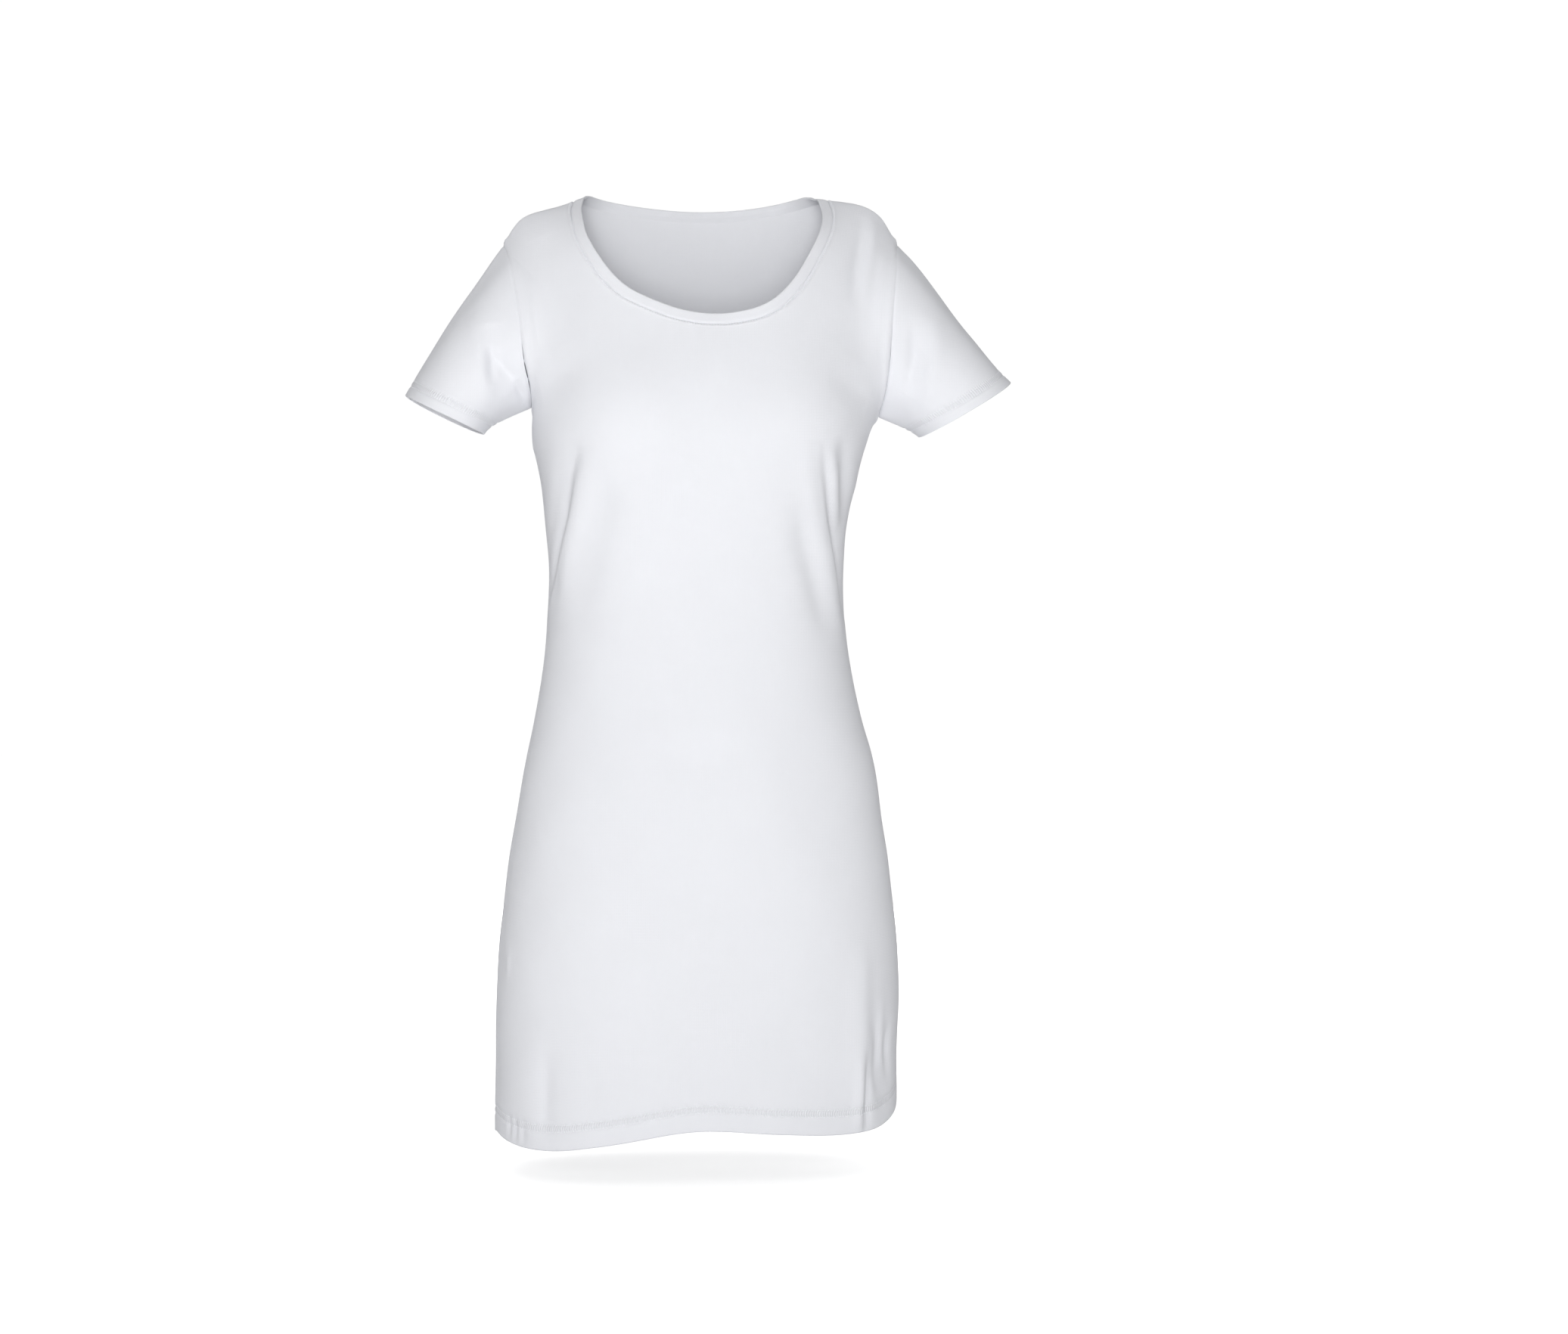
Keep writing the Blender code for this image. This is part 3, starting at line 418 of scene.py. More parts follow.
def cuff_ring(side, steps):
    """The cuff's oval, from the heel up the front to the outer point and down the back."""
    size = dict(zip(CUFF_COLUMNS, CUFFS[side]))
    outer, heel = (np.insert(size[key], 1, 0.0) for key in ("outer", "heel"))
    angles = np.linspace(0.0, math.tau, LOOP_POINTS)
    across = -np.sign(np.cos(angles)) * np.abs(np.cos(angles)) ** (2 / CUFF_POWER)
    deep = np.sign(np.sin(angles)) * np.abs(np.sin(angles)) ** (2 / CUFF_POWER)
    ring = (outer + heel) / 2 + across[:, None] * (outer - heel) / 2
    ring[:, 1] = np.where(deep > 0, size["front"] * deep, -size["back"] * deep)
    ring[:, 2] -= CUFF_DROP * np.clip(deep, 0, 1)
    half = LOOP_POINTS // 2
    shares = np.linspace(0.0, 1.0, steps + 1)
    return np.concatenate((even(ring[:half + 1], shares), even(ring[half:], shares)[1:]))


def sleeve_grid(side, front, back):
    """Points of a sleeve in rows from the armhole to the cuff, each row a closed ring."""
    halves = []
    edge = 0 if side == "right" else -1
    rows = slice(UNDERARM_ROW, SHOULDER_TIP_ROW + 1)
    for name, panel in (("front", front), ("back", back)):
        halves.append((panel[rows, edge], grid_normals(name, panel)[rows, edge]))
    start, outward = (np.concatenate((halves[0][place], halves[1][place][::-1][1:])) for place in (0, 1))
    outward[:-1] = spread(outward[:-1])
    outward[-1] = outward[0]
    end = cuff_ring(side, ARMHOLE_STEPS)
    end[-1] = end[0]
    chord = end - start
    reach = np.linalg.norm(chord, axis=1, keepdims=True)
    straight = unit(chord)
    flush = unit(chord - np.sum(chord * outward, axis=1, keepdims=True) * outward)
    ease = SLEEVE_EASE * np.clip(np.sum(flush * straight, axis=1, keepdims=True), 0, 1) ** 2
    leaving = unit(straight * (1 - ease) + flush * ease)
    arriving = unit(np.array(CUFFS[side][-1:]))
    pull = reach * SLEEVE_PULL
    steps = np.linspace(0.0, 1.0, SLEEVE_STEPS + 1)[:, None, None]
    grid = hermite(start[None], (leaving * pull)[None], end[None], (arriving * pull)[None], steps)
    grid[0] = start
    return grid[:, :-1]


def band_grid(front, back):
    """Points of the neckband in rows from its seam to its folded edge, each row a closed ring."""
    lines = []
    for name, panel in (("front", front), ("back", back)):
        lines.append((panel[-1], grid_normals(name, panel)[-1]))
    seam, outward = (np.concatenate((lines[0][place], lines[1][place][::-1][1:-1])) for place in (0, 1))
    corners = [0, len(lines[0][0]) - 1]
    outward[corners] += np.stack((lines[1][1][0], lines[1][1][-1]))
    along = unit(np.roll(seam, -1, axis=0) - np.roll(seam, 1, axis=0))
    inward = unit(np.cross(along, spread(outward)))
    inward *= np.sign(inward[:1] @ (seam.mean(axis=0) - seam[0]))
    steps = np.linspace(0.0, 1.0, BAND_STEPS + 1)[:, None, None]
    return seam[None] + inward[None] * BAND_WIDTH * steps


def base_grids():
    """Every piece's grid before its swells and folds, with shared points on the seams."""
    front = panel_grid("front")
    back = panel_grid("back")
    for column in (0, -1):
        back[:UNDERARM_ROW, column] = front[:UNDERARM_ROW, column]
    fair_chest(front, back)
    return {
        "front": front,
        "back": back,
        "sleeve_right": sleeve_grid("right", front, back),
        "sleeve_left": sleeve_grid("left", front, back),
        "neckband": band_grid(front, back),
    }


def cubic(points, at, ring=False):
    """Smooth curve through points, one after the other, read at fractional places."""
    count = len(points)
    if ring:
        points = np.concatenate((points[-1:], points, points[:2]))
        slopes = np.gradient(points, axis=0)[1:-1]
        points = points[1:-1]
    else:
        slopes = np.gradient(points, axis=0)
    last = count - 1 if ring else count - 2
    start = np.clip(np.floor(at).astype(int), 0, last)
    t = (at - start).reshape((-1,) + (1,) * (points.ndim - 1))
    return hermite(points[start], slopes[start], points[start + 1], slopes[start + 1], t)


def through_corners(line, corners, at):
    """A line read at fractional places, smooth between its corners alone."""
    exact = np.zeros((len(at), 3))
    for first, last in zip(corners[:-1], corners[1:]):
        inside = (at >= first) & (at <= last)
        exact[inside] = cubic(line[first:last + 1], at[inside] - first)
    return exact


def resampled(name, grid, rows_at, columns_at):
    """A grid read at fractional rows and columns. Its seams bend at their corners alone."""
    ring = name in RINGS
    across = np.swapaxes(cubic(np.swapaxes(grid, 0, 1), columns_at, ring), 0, 1)
    result = cubic(across, rows_at)
    if ring:
        line = np.concatenate((grid[0], grid[0, :1]))
        corners = (0, ARMHOLE_STEPS, 2 * ARMHOLE_STEPS)
        if name == "neckband":
            corners = (0, NECK_STEPS["front"], NECK_STEPS["front"] + NECK_STEPS["back"])
        change = through_corners(line, corners, columns_at) - across[0]
        nearness = 1 - ramp(rows_at, 0.0, 1.0)
        return result + nearness[:, None, None] * change[None]
    corners = (0, UNDERARM_ROW, SHOULDER_TIP_ROW, grid.shape[0] - 1)
    for edge in (0, grid.shape[1] - 1):
        change = through_corners(grid[:, edge], corners, rows_at) - cubic(grid[:, edge], rows_at)
        nearness = 1 - ramp(np.abs(columns_at - edge), 0.0, 1.0)
        result = result + nearness[None, :, None] * change[:, None]
    return result


def grid_normals(name, grid):
    """Outward direction at each point of a grid."""
    up = np.gradient(grid, axis=0)
    if name in RINGS:
        across = (np.roll(grid, -1, axis=1) - np.roll(grid, 1, axis=1)) / 2
    else:
        across = np.gradient(grid, axis=1)
    out = np.cross(across, up)
    return unit(-out if name in TURNED else out)


def shared_normals(grids):
    """Outward directions, averaged where the points of two or more pieces meet."""
    own = np.concatenate([grid_normals(name, grid).reshape(-1, 3) for name, grid in grids.items()])
    groups = same_points(grids.values())[1]
    sums = np.zeros((groups.max() + 1, 3))
    np.add.at(sums, groups, own)
    ends = np.cumsum([grid.size // 3 for grid in grids.values()])
    parts = np.split(unit(sums[groups]), ends[:-1])
    return {name: part.reshape(grids[name].shape) for name, part in zip(grids, parts)}


def fold_lines(table_of_folds, grids, normals):
    """Each fold of a table laid on its piece: points, outward directions, kind, height and reaches."""
    lines = []
    members = [key + row for key, rows in table_of_folds.items() for row in rows]
    for piece, kind, height, reach_right, reach_left, line in members:
        points = grids[piece].reshape(-1, 3)
        facing = normals[piece].reshape(-1, 3)
        if piece in RINGS:
            shown = facing[:, 1] < 0
            points = points[shown]
            facing = facing[shown]
        line = np.array(line) * MM
        keys = lengths_along(line)
        route = smooth(keys, line, np.linspace(0.0, keys[-1], 3 * len(keys)))
        laid = np.insert(route, 1, 0.0, axis=1)
        outward = np.zeros(laid.shape)
        for index, (x, z) in enumerate(route):
            apart = (points[:, 0] - x) ** 2 + (points[:, 2] - z) ** 2
            near = np.argpartition(apart, NEAREST)[:NEAREST]
            weights = 1 / (apart[near] + 1e-8)
            weights /= weights.sum()
            laid[index, 1] = weights @ points[near, 1]
            outward[index] = weights @ facing[near]
        lines.append((laid, unit(outward), kind, height * MM, reach_right * MM, reach_left * MM))
    return lines


def fold_height(points, laid, outward, kind, height, reach_right, reach_left):
    """How far one fold lifts each point of the cloth."""
    lengths = lengths_along(laid)
    best = np.full(len(points), np.inf)
    side = np.zeros(len(points))
    share = np.zeros(len(points))
    for index in range(len(laid) - 1):
        start = laid[index]
        along = laid[index + 1] - start
        span = float(along @ along)
        t = np.clip((points - start) @ along / span, 0.0, 1.0)
        offset = points - (start + t[:, None] * along)
        distance = np.linalg.norm(offset, axis=1)
        crosswise = unit(np.cross(outward[index], along))
        if crosswise[0] < 0:
            crosswise = -crosswise
        nearer = distance < best
        best = np.where(nearer, distance, best)
        side = np.where(nearer, np.sign(offset @ crosswise), side)
        share = np.where(nearer, (lengths[index] + t * np.sqrt(span)) / lengths[-1], share)
    across = side * best / np.where(side < 0, reach_right, reach_left)
    hill = np.exp(-across * across)
    if kind == "roll":
        hill = across * hill * math.sqrt(2 * math.e)
    return height * np.sin(math.pi * share) ** END_POWER * hill


def swell_height(points, own, x, z, across, up, height):
    """How far one swell lifts each point of the cloth. Its centre lies on its own piece's points."""
    nearest = int(np.argmin((own[:, 0] - x) ** 2 + (own[:, 2] - z) ** 2))
    away = (points - (x, own[nearest, 1], z)) / (across, across, up)
    return height * np.exp(-np.sum(away ** 2, axis=1))


# Fineness of the cloth: steps of its rows and columns for each step of the solid's grid
CLOTH_STEPS = {name: (8, 7) if name in SLEEVES else (6, 6) for name in PANELS + RINGS}
HEM_ROWS = 26
NECK_ROWS = 15
CLOTH_THICKNESS = 0.0012
BAND_THICKNESS = 0.0024
HEM_PLY = 0.0010

# Seams: half width of the groove, its depth, and the rise of the allowance beside it
SEAM_SHAPE = {"groove": 0.0012, "depth": 0.0006, "ridge_at": 0.0045, "ridge_wide": 0.0036, "ridge": 0.0009}

# Stitched rows: each draws a narrow furrow into the cloth, and the rows round the neck stand up
FURROW = {"wide": 0.0011, "deep": 0.0008}
NECK_RISE = {"wide": 0.0010, "high": 0.0005}
BAND_GROOVE = {"reach": 0.006, "wide": 0.0010, "deep": 0.0010}

# Puckers that the stitches pull up across a sewn hem and beside the neckband, in metres
PUCKER_PITCH = 0.0024
PUCKER_DEPTH = 0.00019

# How much closer a panel's columns lie at its sides than in the middle, as a share of a whole wave
SIDE_CROWDING = 0.075

# Stitching: distance of the lower row from the edge and gap of the twin needles, stitch length and pitch
HEM_SEWING = (0.0172, 0.0064)
CUFF_SEWING = (0.0104, 0.0060)
STITCH = (0.0024, 0.0032)
BAND_ROW_FROM_SEAM = 0.0022
BAND_STITCH = (0.0019, 0.0026)

# A stitch's thread: its thickness, and at shares of its length how full it is and how high it stands
THREAD = 0.00060
THREAD_SIDES = 6
THREAD_SHARES = np.array((-0.5, -0.3, 0.0, 0.3, 0.5))
THREAD_FULLNESS = np.array((0.25, 0.9, 1.0, 0.9, 0.25))
THREAD_RISES = np.array((-0.6, 0.1, 0.35, 0.1, -0.6))

# The cloth's colours, its finish, and its knit: wales and courses, slub and slow clouds of tone
CLOTH_COLOUR = (0.795, 0.803, 0.837)
THREAD_COLOUR = (0.850, 0.858, 0.890)
FINISH = {"Metallic": 0.0, "Specular IOR Level": 0.22, "Sheen Weight": 0.03, "Sheen Roughness": 0.55}
KNIT_BANDS = {"X": {"Scale": 190.0, "Distortion": 1.2}, "Z": {"Scale": 230.0, "Distortion": 1.6}}
SLUB = {"Scale": 160.0, "Detail": 5.0, "Roughness": 0.6}
CLOUDS = {"Scale": 9.0, "Detail": 3.0}

# Camera at the middle depth of the dress, in the photograph's own frame
PHOTO_WIDTH = 2073
METRES_PER_PIXEL = 0.00072
SENSOR = 36.0
CAMERA_DISTANCE = 3.0
CAMERA_YAW = math.radians(5.0)
CAMERA_ASIDE = 0.081
CAMERA_HEIGHT = -0.44928

# Light and floor
WORLD_STRENGTH = 0.36
BACKGROUND_STRENGTH = 1.02
BEHIND_POWER = 0.42
FLOOR_GLOW = 0.63
FLOOR_LEVEL = -0.925
FLOOR_HALF = 14.0
WHITE = (1.0, 1.0, 1.0, 1.0)

# Lamps: name, place, the point that each faces, its width and height, and its power
LAMPS = (
    ("key", (-0.25, -3.2, -0.28), (0.0, 0.0, -0.45), (1.0, 1.2), 51.5),
    ("top", (-0.5, -1.9, 1.25), (0.0, 0.0, -0.15), (0.7, 0.7), 4.0),
    ("back", (0.35, 3.2, -0.05), (0.0, 0.0, -0.45), (1.3, 1.5), 27.0),
)

# Narrow creases, worked as the folds are
CREASES = {
    ("sleeve_right", "hill"): (
        (-3.8, 6, 6, ((-197.5, -150), (-195.5, -172), (-195, -186))),
        (-3.5, 6, 5, ((-190.5, -158), (-184, -172), (-174.5, -183))),
        (-2.2, 4, 4, ((-171.5, -182), (-169, -192), (-166.5, -200))),
        (3, 10, 10, ((-215, -120), (-206, -160), (-198, -205))),
    ),
    ("sleeve_left", "hill"): (
        (-2.4, 6, 6, ((200, -130), (198, -160), (192, -190))),
        (2, 10, 10, ((224, -120), (218, -160), (208, -205))),
    ),
    ("front", "hill"): (
        (1.6, 6, 4, ((-160, -85), (-156, -120), (-153, -160))),
        (1.6, 7, 7, ((176, -50), (171, -95), (166, -140))),
        (-2, 12, 14, ((166, -60), (158, -110), (146, -165))),
        (-1.6, 12, 16, ((-150, -190), (-132, -182), (-108, -178))),
        (-1.6, 16, 12, ((155, -200), (138, -190), (112, -184))),
        (-1.3, 9, 9, ((-131, -252), (-135, -284), (-141, -322), (-143.5, -345))),
        (-1.2, 10, 10, ((86, -300), (92, -328), (101, -358), (109, -385), (117, -410))),
        (1.2, 12, 12, ((-45, -500), (5, -507), (55, -500))),
        (-1, 14, 14, ((-60, -532), (0, -540), (60, -530))),
        (-1.2, 16, 16, ((-75, -640), (-20, -660), (50, -668), (100, -655))),
        (-1.2, 15, 15, ((-40, -712), (20, -722), (85, -712))),
        (-1.1, 14, 14, ((-20, -772), (40, -780), (105, -765))),
        (1.2, 12, 12, ((60, -742), (100, -738), (132, -724))),
        (-2.2, 6, 6, ((157, -775), (162.5, -800), (160, -825), (164, -850))),
        (1.8, 6, 6, ((168, -760), (166.5, -800), (172, -830))),
        (-2, 5, 5, ((175.5, -780), (172, -810), (176.5, -840))),
        (-1.5, 7, 8, ((-146, -800), (-147.5, -850), (-147, -892))),
        (-1.6, 3.5, 3.5, ((-180, -862), (-180, -888))),
        (-1.6, 3.5, 3.5, ((-174.5, -864), (-174.5, -890))),
        (-1.4, 3.5, 3.5, ((-167.5, -866), (-167.2, -892))),
        (1.6, 4, 4, ((-184.5, -712), (-180, -722), (-183, -736))),
    ),
    ("front", "roll"): (
        (2.6, 9, 8, ((163, -22), (158, -48), (152, -78), (147, -110))),
        (2.2, 7, 7, ((-111, -245), (-119, -270), (-125, -298), (-132.5, -335), (-139, -372),
          (-143.5, -398))),
        (-2.2, 6, 6, ((105, -240), (109, -268), (115, -300), (121, -328), (127, -360), (133, -388),
          (138, -408))),
        (-3.4, 6.5, 6.5, ((147.5, -805), (147, -835), (146.5, -862), (146.5, -885))),
    ),
    ("back", "roll"): (
        (2.2, 8, 8, ((-105, -255), (-116, -300), (-126, -350))),
        (-2.2, 8, 8, ((103, -250), (114, -298), (124, -348))),
    ),
    ("back", "hill"): (
        (-1.8, 10, 10, ((-80, -330), (-30, -350), (30, -352), (85, -335))),
        (-1.4, 10, 10, ((-65, -400), (0, -412), (70, -398))),
        (-1.5, 12, 12, ((-140, -90), (-128, -130), (-110, -170))),
        (-1.5, 12, 12, ((145, -85), (132, -128), (114, -168))),
        (-1.4, 14, 14, ((-110, -700), (-114, -790), (-112, -880))),
        (-1.4, 14, 14, ((60, -720), (64, -800), (62, -878))),
    ),
}

# Slow unevenness of the cloth: waves along x, y and z in radians a metre, their phase and height
RIPPLES = np.array((
    (61.0, 17.0, 23.0, 0.4, 0.00022),
    (-37.0, 29.0, 58.0, 1.7, 0.00020),
    (23.0, 41.0, -84.0, 2.9, 0.00016),
    (97.0, -53.0, 47.0, 4.1, 0.00012),
    (-118.0, 37.0, 71.0, 5.3, 0.00009),
))


def cloth_places(name, rows):
    """Places of the cloth's rows in the solid's grid, closer together at its hem and at the neck."""
    places = np.linspace(0, rows - 1, (rows - 1) * CLOTH_STEPS[name][0] + 1)
    if name in PANELS:
        reach = HEM_DEPTH / (body_levels()[1] - HEM_LEVEL)
        middle = places[(places > reach + 0.02) & (places < rows - 2)]
        neck = np.linspace(rows - 2, rows - 1, NECK_ROWS)
        return np.concatenate((np.linspace(0.0, reach, HEM_ROWS), middle, neck))
    if name in SLEEVES:
        reach = rows - 1 - CUFF_HEM_DEPTH / CUFF_SPACING
        return np.concatenate((places[places < reach - 0.02], np.linspace(reach, rows - 1, HEM_ROWS)))
    return places


def dense_grids(base):
    """Every piece's grid at the fineness of the cloth."""
    dense = {}
    for name, grid in base.items():
        last = grid.shape[1] - (name not in RINGS)
        shares = np.linspace(0.0, 1.0, last * CLOTH_STEPS[name][1] + 1)
        if name in RINGS:
            columns_at = last * shares[:-1]
        else:
            columns_at = last * (shares - SIDE_CROWDING * np.sin(math.tau * shares))
        dense[name] = resampled(name, grid, cloth_places(name, grid.shape[0]), columns_at)
    return dense


def edge_distance(line, points, reach):
    """Distance of each point from a seam line, no farther than reach."""
    best = np.full(len(points), reach * reach)
    low = line.min(axis=0) - reach
    high = line.max(axis=0) + reach
    near = np.all((points >= low) & (points <= high), axis=1)
    close = points[near]
    found = best[near]
    for start, stop in zip(line[:-1], line[1:]):
        along = stop - start
        span = max(float(along @ along), 1e-12)
        t = np.clip((close - start) @ along / span, 0.0, 1.0)
        found = np.minimum(found, np.sum((close - start - t[:, None] * along) ** 2, axis=1))
    best[near] = found
    return np.sqrt(best)


def seams(dense):
    """Seam lines of the dress, each as a line of points."""
    side_rows = cloth_places("front", SHOULDER_TIP_ROW + SHOULDER_STEPS + 1)
    armhole_rows = (side_rows >= UNDERARM_ROW) & (side_rows <= SHOULDER_TIP_ROW)
    lines = {"band": np.concatenate((dense["neckband"][0], dense["neckband"][0, :1]))}
    for side, edge in (("right", 0), ("left", -1)):
        front = dense["front"][:, edge]
        lines["side_" + side] = front[side_rows <= UNDERARM_ROW]
        lines["shoulder_" + side] = front[side_rows >= SHOULDER_TIP_ROW]
        lines["armhole_front_" + side] = front[armhole_rows]
        lines["armhole_back_" + side] = dense["back"][armhole_rows, edge]
    return lines


def seam_relief(distance, ridge):
    """Height of the cloth beside a seam: a groove, then the low rise of the allowance."""
    groove = SEAM_SHAPE["depth"] * np.exp(-(distance / SEAM_SHAPE["groove"]) ** 2)
    rise = ridge * np.exp(-((distance - SEAM_SHAPE["ridge_at"]) / SEAM_SHAPE["ridge_wide"]) ** 2)
    return rise - groove


def hem_stitching(name, grid):
    """Depth of the furrows over a turned-up hem, and how far the puckers between them show."""
    up = 1 if name in PANELS else -1
    distance = lengths_along(grid[::up])[::up]
    first, gap = HEM_SEWING if name in PANELS else CUFF_SEWING
    depth = np.zeros(distance.shape)
    for place in (first, first + gap):
        depth += FURROW["deep"] * np.exp(-((distance - place) / FURROW["wide"]) ** 2)
    return depth, np.exp(-((distance - first - gap / 2) / (0.62 * gap)) ** 4)


def ripples(points):
    """How far the slow unevenness lifts each point of the cloth."""
    return np.sin(points @ RIPPLES[:, :3].T + RIPPLES[:, 3]) @ RIPPLES[:, 4]


def dressed_grids():
    """Every piece's smooth form, its face with seams and stitched rows, and where it is puckered."""
    dense = dense_grids(base_grids())
    normals = shared_normals(dense)
    folds = fold_lines(FOLDS, dense, normals) + fold_lines(CREASES, dense, normals)
    lines = seams(dense)
    band = lines.pop("band")
    reach = 3 * SEAM_SHAPE["ridge_wide"]
    smooth_form = {}
    face = {}
    puckered = {}
    for name, grid in dense.items():
        points = grid.reshape(-1, 3)
        lift = ripples(points)
        for piece, *sizes in SWELLS:
            lift += swell_height(points, dense[piece].reshape(-1, 3), *np.array(sizes) * MM)
        for fold in folds:
            lift += fold_height(points, *fold)
        smooth_form[name] = raised(grid, normals[name], lift)
        allowance = 0.0 if name in SLEEVES else SEAM_SHAPE["ridge"]
        for key, line in lines.items():
            distance = edge_distance(line, points, reach)
            ridge = allowance if key.startswith("armhole") else 0.3 * allowance
            lift += np.where(distance < reach, seam_relief(distance, ridge), 0.0)
        shown = np.zeros(len(points))
        if name not in SLEEVES:
            distance = edge_distance(band, points, BAND_GROOVE["reach"])
            lift -= BAND_GROOVE["deep"] * np.exp(-(distance / BAND_GROOVE["wide"]) ** 2)
        if name != "neckband":
            depth, shown = (field.ravel() for field in hem_stitching(name, grid))
            lift -= depth
        if name in PANELS:
            beside_neck = np.exp(-((distance - BAND_ROW_FROM_SEAM) / NECK_RISE["wide"]) ** 2)
            lift += NECK_RISE["high"] * beside_neck
            shown = np.maximum(shown, 0.6 * beside_neck)
        face[name] = raised(grid, normals[name], lift)
        puckered[name] = shown
    return smooth_form, face, puckered


def raised(grid, normals, lift):
    """A grid with each point moved outward."""
    return grid + normals * lift.reshape(grid.shape[:2] + (1,))


def cloth_thickness(name, rows):
    """Thickness of the cloth at each row, doubled over the turned-up hems and the folded band."""
    if name == "neckband":
        return np.interp(np.linspace(0.0, 1.0, rows), (0.0, 0.4), (CLOTH_THICKNESS, BAND_THICKNESS))
    thickness = np.full(rows, CLOTH_THICKNESS)
    hem = slice(HEM_ROWS) if name in PANELS else slice(-HEM_ROWS, None)
    thickness[hem] += HEM_PLY
    return thickness


def rounded_edges(name, outer, inner):
    """Both faces of the cloth drawn together at a folded edge, so that it turns softly."""
    edge = 0 if name in PANELS else -1
    middle = (outer[edge] + inner[edge]) / 2
    faces = (outer.copy(), inner.copy())
    for face in faces:
        face[edge] = middle * 0.6 + face[edge] * 0.4
    return faces


def shell_mesh(name, outer, inner):
    """Closed shell of a piece between its outer and its inner grid."""
    rows, columns = outer.shape[:2]
    layer = rows * columns
    ids = np.arange(layer).reshape(rows, columns)
    spans = columns - (name not in RINGS)
    here = ids[:, :spans]
    after = np.roll(ids, -1, axis=1)[:, :spans]
    quads = np.stack((here[:-1], after[:-1], after[1:], here[1:]), axis=-1).reshape(-1, 4)
    rims = [(after[0], here[0]), (here[-1], after[-1])]
    if name not in RINGS:
        rims += [(ids[:-1, 0], ids[1:, 0]), (ids[1:, -1], ids[:-1, -1])]
    faces = [quads, quads[:, ::-1] + layer]
    faces += [np.stack((start, stop, stop + layer, start + layer), axis=-1) for start, stop in rims]
    faces = np.concatenate(faces)
    if name in TURNED:
        faces = faces[:, ::-1]
    points = np.concatenate((outer.reshape(-1, 3), inner.reshape(-1, 3)))
    return mesh_of(name + "_cloth", points, faces)


def note_puckers(mesh, grid, puckered):
    """Notes on the cloth where its puckers show and how far along the hem or neck each point lies."""
    for key, values in (("puckered", puckered), ("along", lengths_along(grid, axis=1).ravel())):
        note = mesh.attributes.new(key, "FLOAT", "POINT")
        both = np.concatenate((values, np.zeros(len(values))))
        note.data.foreach_set("value", both.astype(np.float32))


def mesh_of(name, points, faces):
    """Smooth mesh from arrays of points and four-cornered faces."""
    mesh = bpy.data.meshes.new(name)
    mesh.vertices.add(len(points))
    mesh.vertices.foreach_set("co", points.astype(np.float32).ravel())
    mesh.loops.add(faces.size)
    mesh.loops.foreach_set("vertex_index", faces.astype(np.int32).ravel())
    mesh.polygons.add(len(faces))
    mesh.polygons.foreach_set("loop_start", np.arange(0, faces.size, 4, dtype=np.int32))
    mesh.update(calc_edges=True)
    mesh.validate()
    mesh.shade_smooth()
    mesh.set_sharp_from_angle(angle=math.radians(60))
    return mesh


def line_at(name, grid, normals, distance):
    """Line on a grid at a distance up its columns from row 0, with the outward directions there."""
    lengths = lengths_along(grid)
    columns = np.arange(grid.shape[1] + (name in RINGS)) % grid.shape[1]
    rows = np.clip(np.sum(lengths < distance, axis=0) - 1, 0, len(lengths) - 2)[columns]
    low = lengths[rows, columns]
    span = np.maximum(lengths[rows + 1, columns] - low, 1e-9)
    t = np.clip((distance - low) / span, 0.0, 1.0)[:, None]
    pair = (grid, normals)
    points, outward = (field[rows, columns] * (1 - t) + field[rows + 1, columns] * t for field in pair)
    return points, unit(outward)


def stitches(lines, length, pitch):
    """Threads of a row of stitches, each a short tapered arc that dips into the cloth at its ends."""
    points = []
    faces = []
    turns = np.linspace(0.0, math.tau, THREAD_SIDES, endpoint=False)
    radius = (THREAD_FULLNESS * THREAD / 2)[None, :, None, None]
    count = 0
    for line, outward in lines:
        keys = lengths_along(line)
        places = np.arange(pitch / 2, keys[-1], pitch)
        at = places[:, None] + THREAD_SHARES[None] * length
        centre, out = (np.stack([np.interp(at, keys, field[:, axis]) for axis in range(3)], axis=-1)
                       for field in (line, outward))
        out = unit(out)
        side = unit(np.cross(unit(centre[:, -1:] - centre[:, :1]), out))
        centre = centre + out * (THREAD_RISES * THREAD)[None, :, None]
        circle = out[:, :, None] * np.cos(turns)[:, None] + side[:, :, None] * np.sin(turns)[:, None]
        rings = (centre[:, :, None] + circle * radius).reshape(-1, 3)
        points.append(rings)
        ids = count + np.arange(len(rings)).reshape(len(places), len(THREAD_SHARES), THREAD_SIDES)
        after = np.roll(ids, -1, axis=2)
        quads = np.stack((ids[:, :-1], after[:, :-1], after[:, 1:], ids[:, 1:]), axis=-1)
        faces.append(quads.reshape(-1, 4))
        for caps in (ids[:, 0, ::-1], ids[:, -1]):
            faces += [caps[:, :4], caps[:, (0, 3, 4, 5)]]
        count += len(rings)
    return np.concatenate(points), np.concatenate(faces)


def set_inputs(tree, node, inputs):
    """Sets inputs of a node to values, or links them from outputs of other nodes."""
    for key, value in inputs.items():
        if isinstance(value, bpy.types.NodeSocket):
            tree.links.new(value, node.inputs[key])
        else:
            node.inputs[key].default_value = value


def add_node(tree, kind, inputs, **settings):
    """New shader node with its inputs and settings."""
    node = tree.nodes.new("ShaderNode" + kind)
    for key, value in settings.items():
        setattr(node, key, value)
    set_inputs(tree, node, inputs)
    return node


def product(tree, one, other):
    """One output times another output or a number."""
    return add_node(tree, "Math", {0: one, 1: other}, operation="MULTIPLY").outputs[0]


def bump(tree, height, strength, distance, **under):
    """Normal with small relief, on top of another normal where one is given."""
    inputs = {"Height": height, "Strength": strength, "Distance": distance} | under
    return add_node(tree, "Bump", inputs).outputs["Normal"]


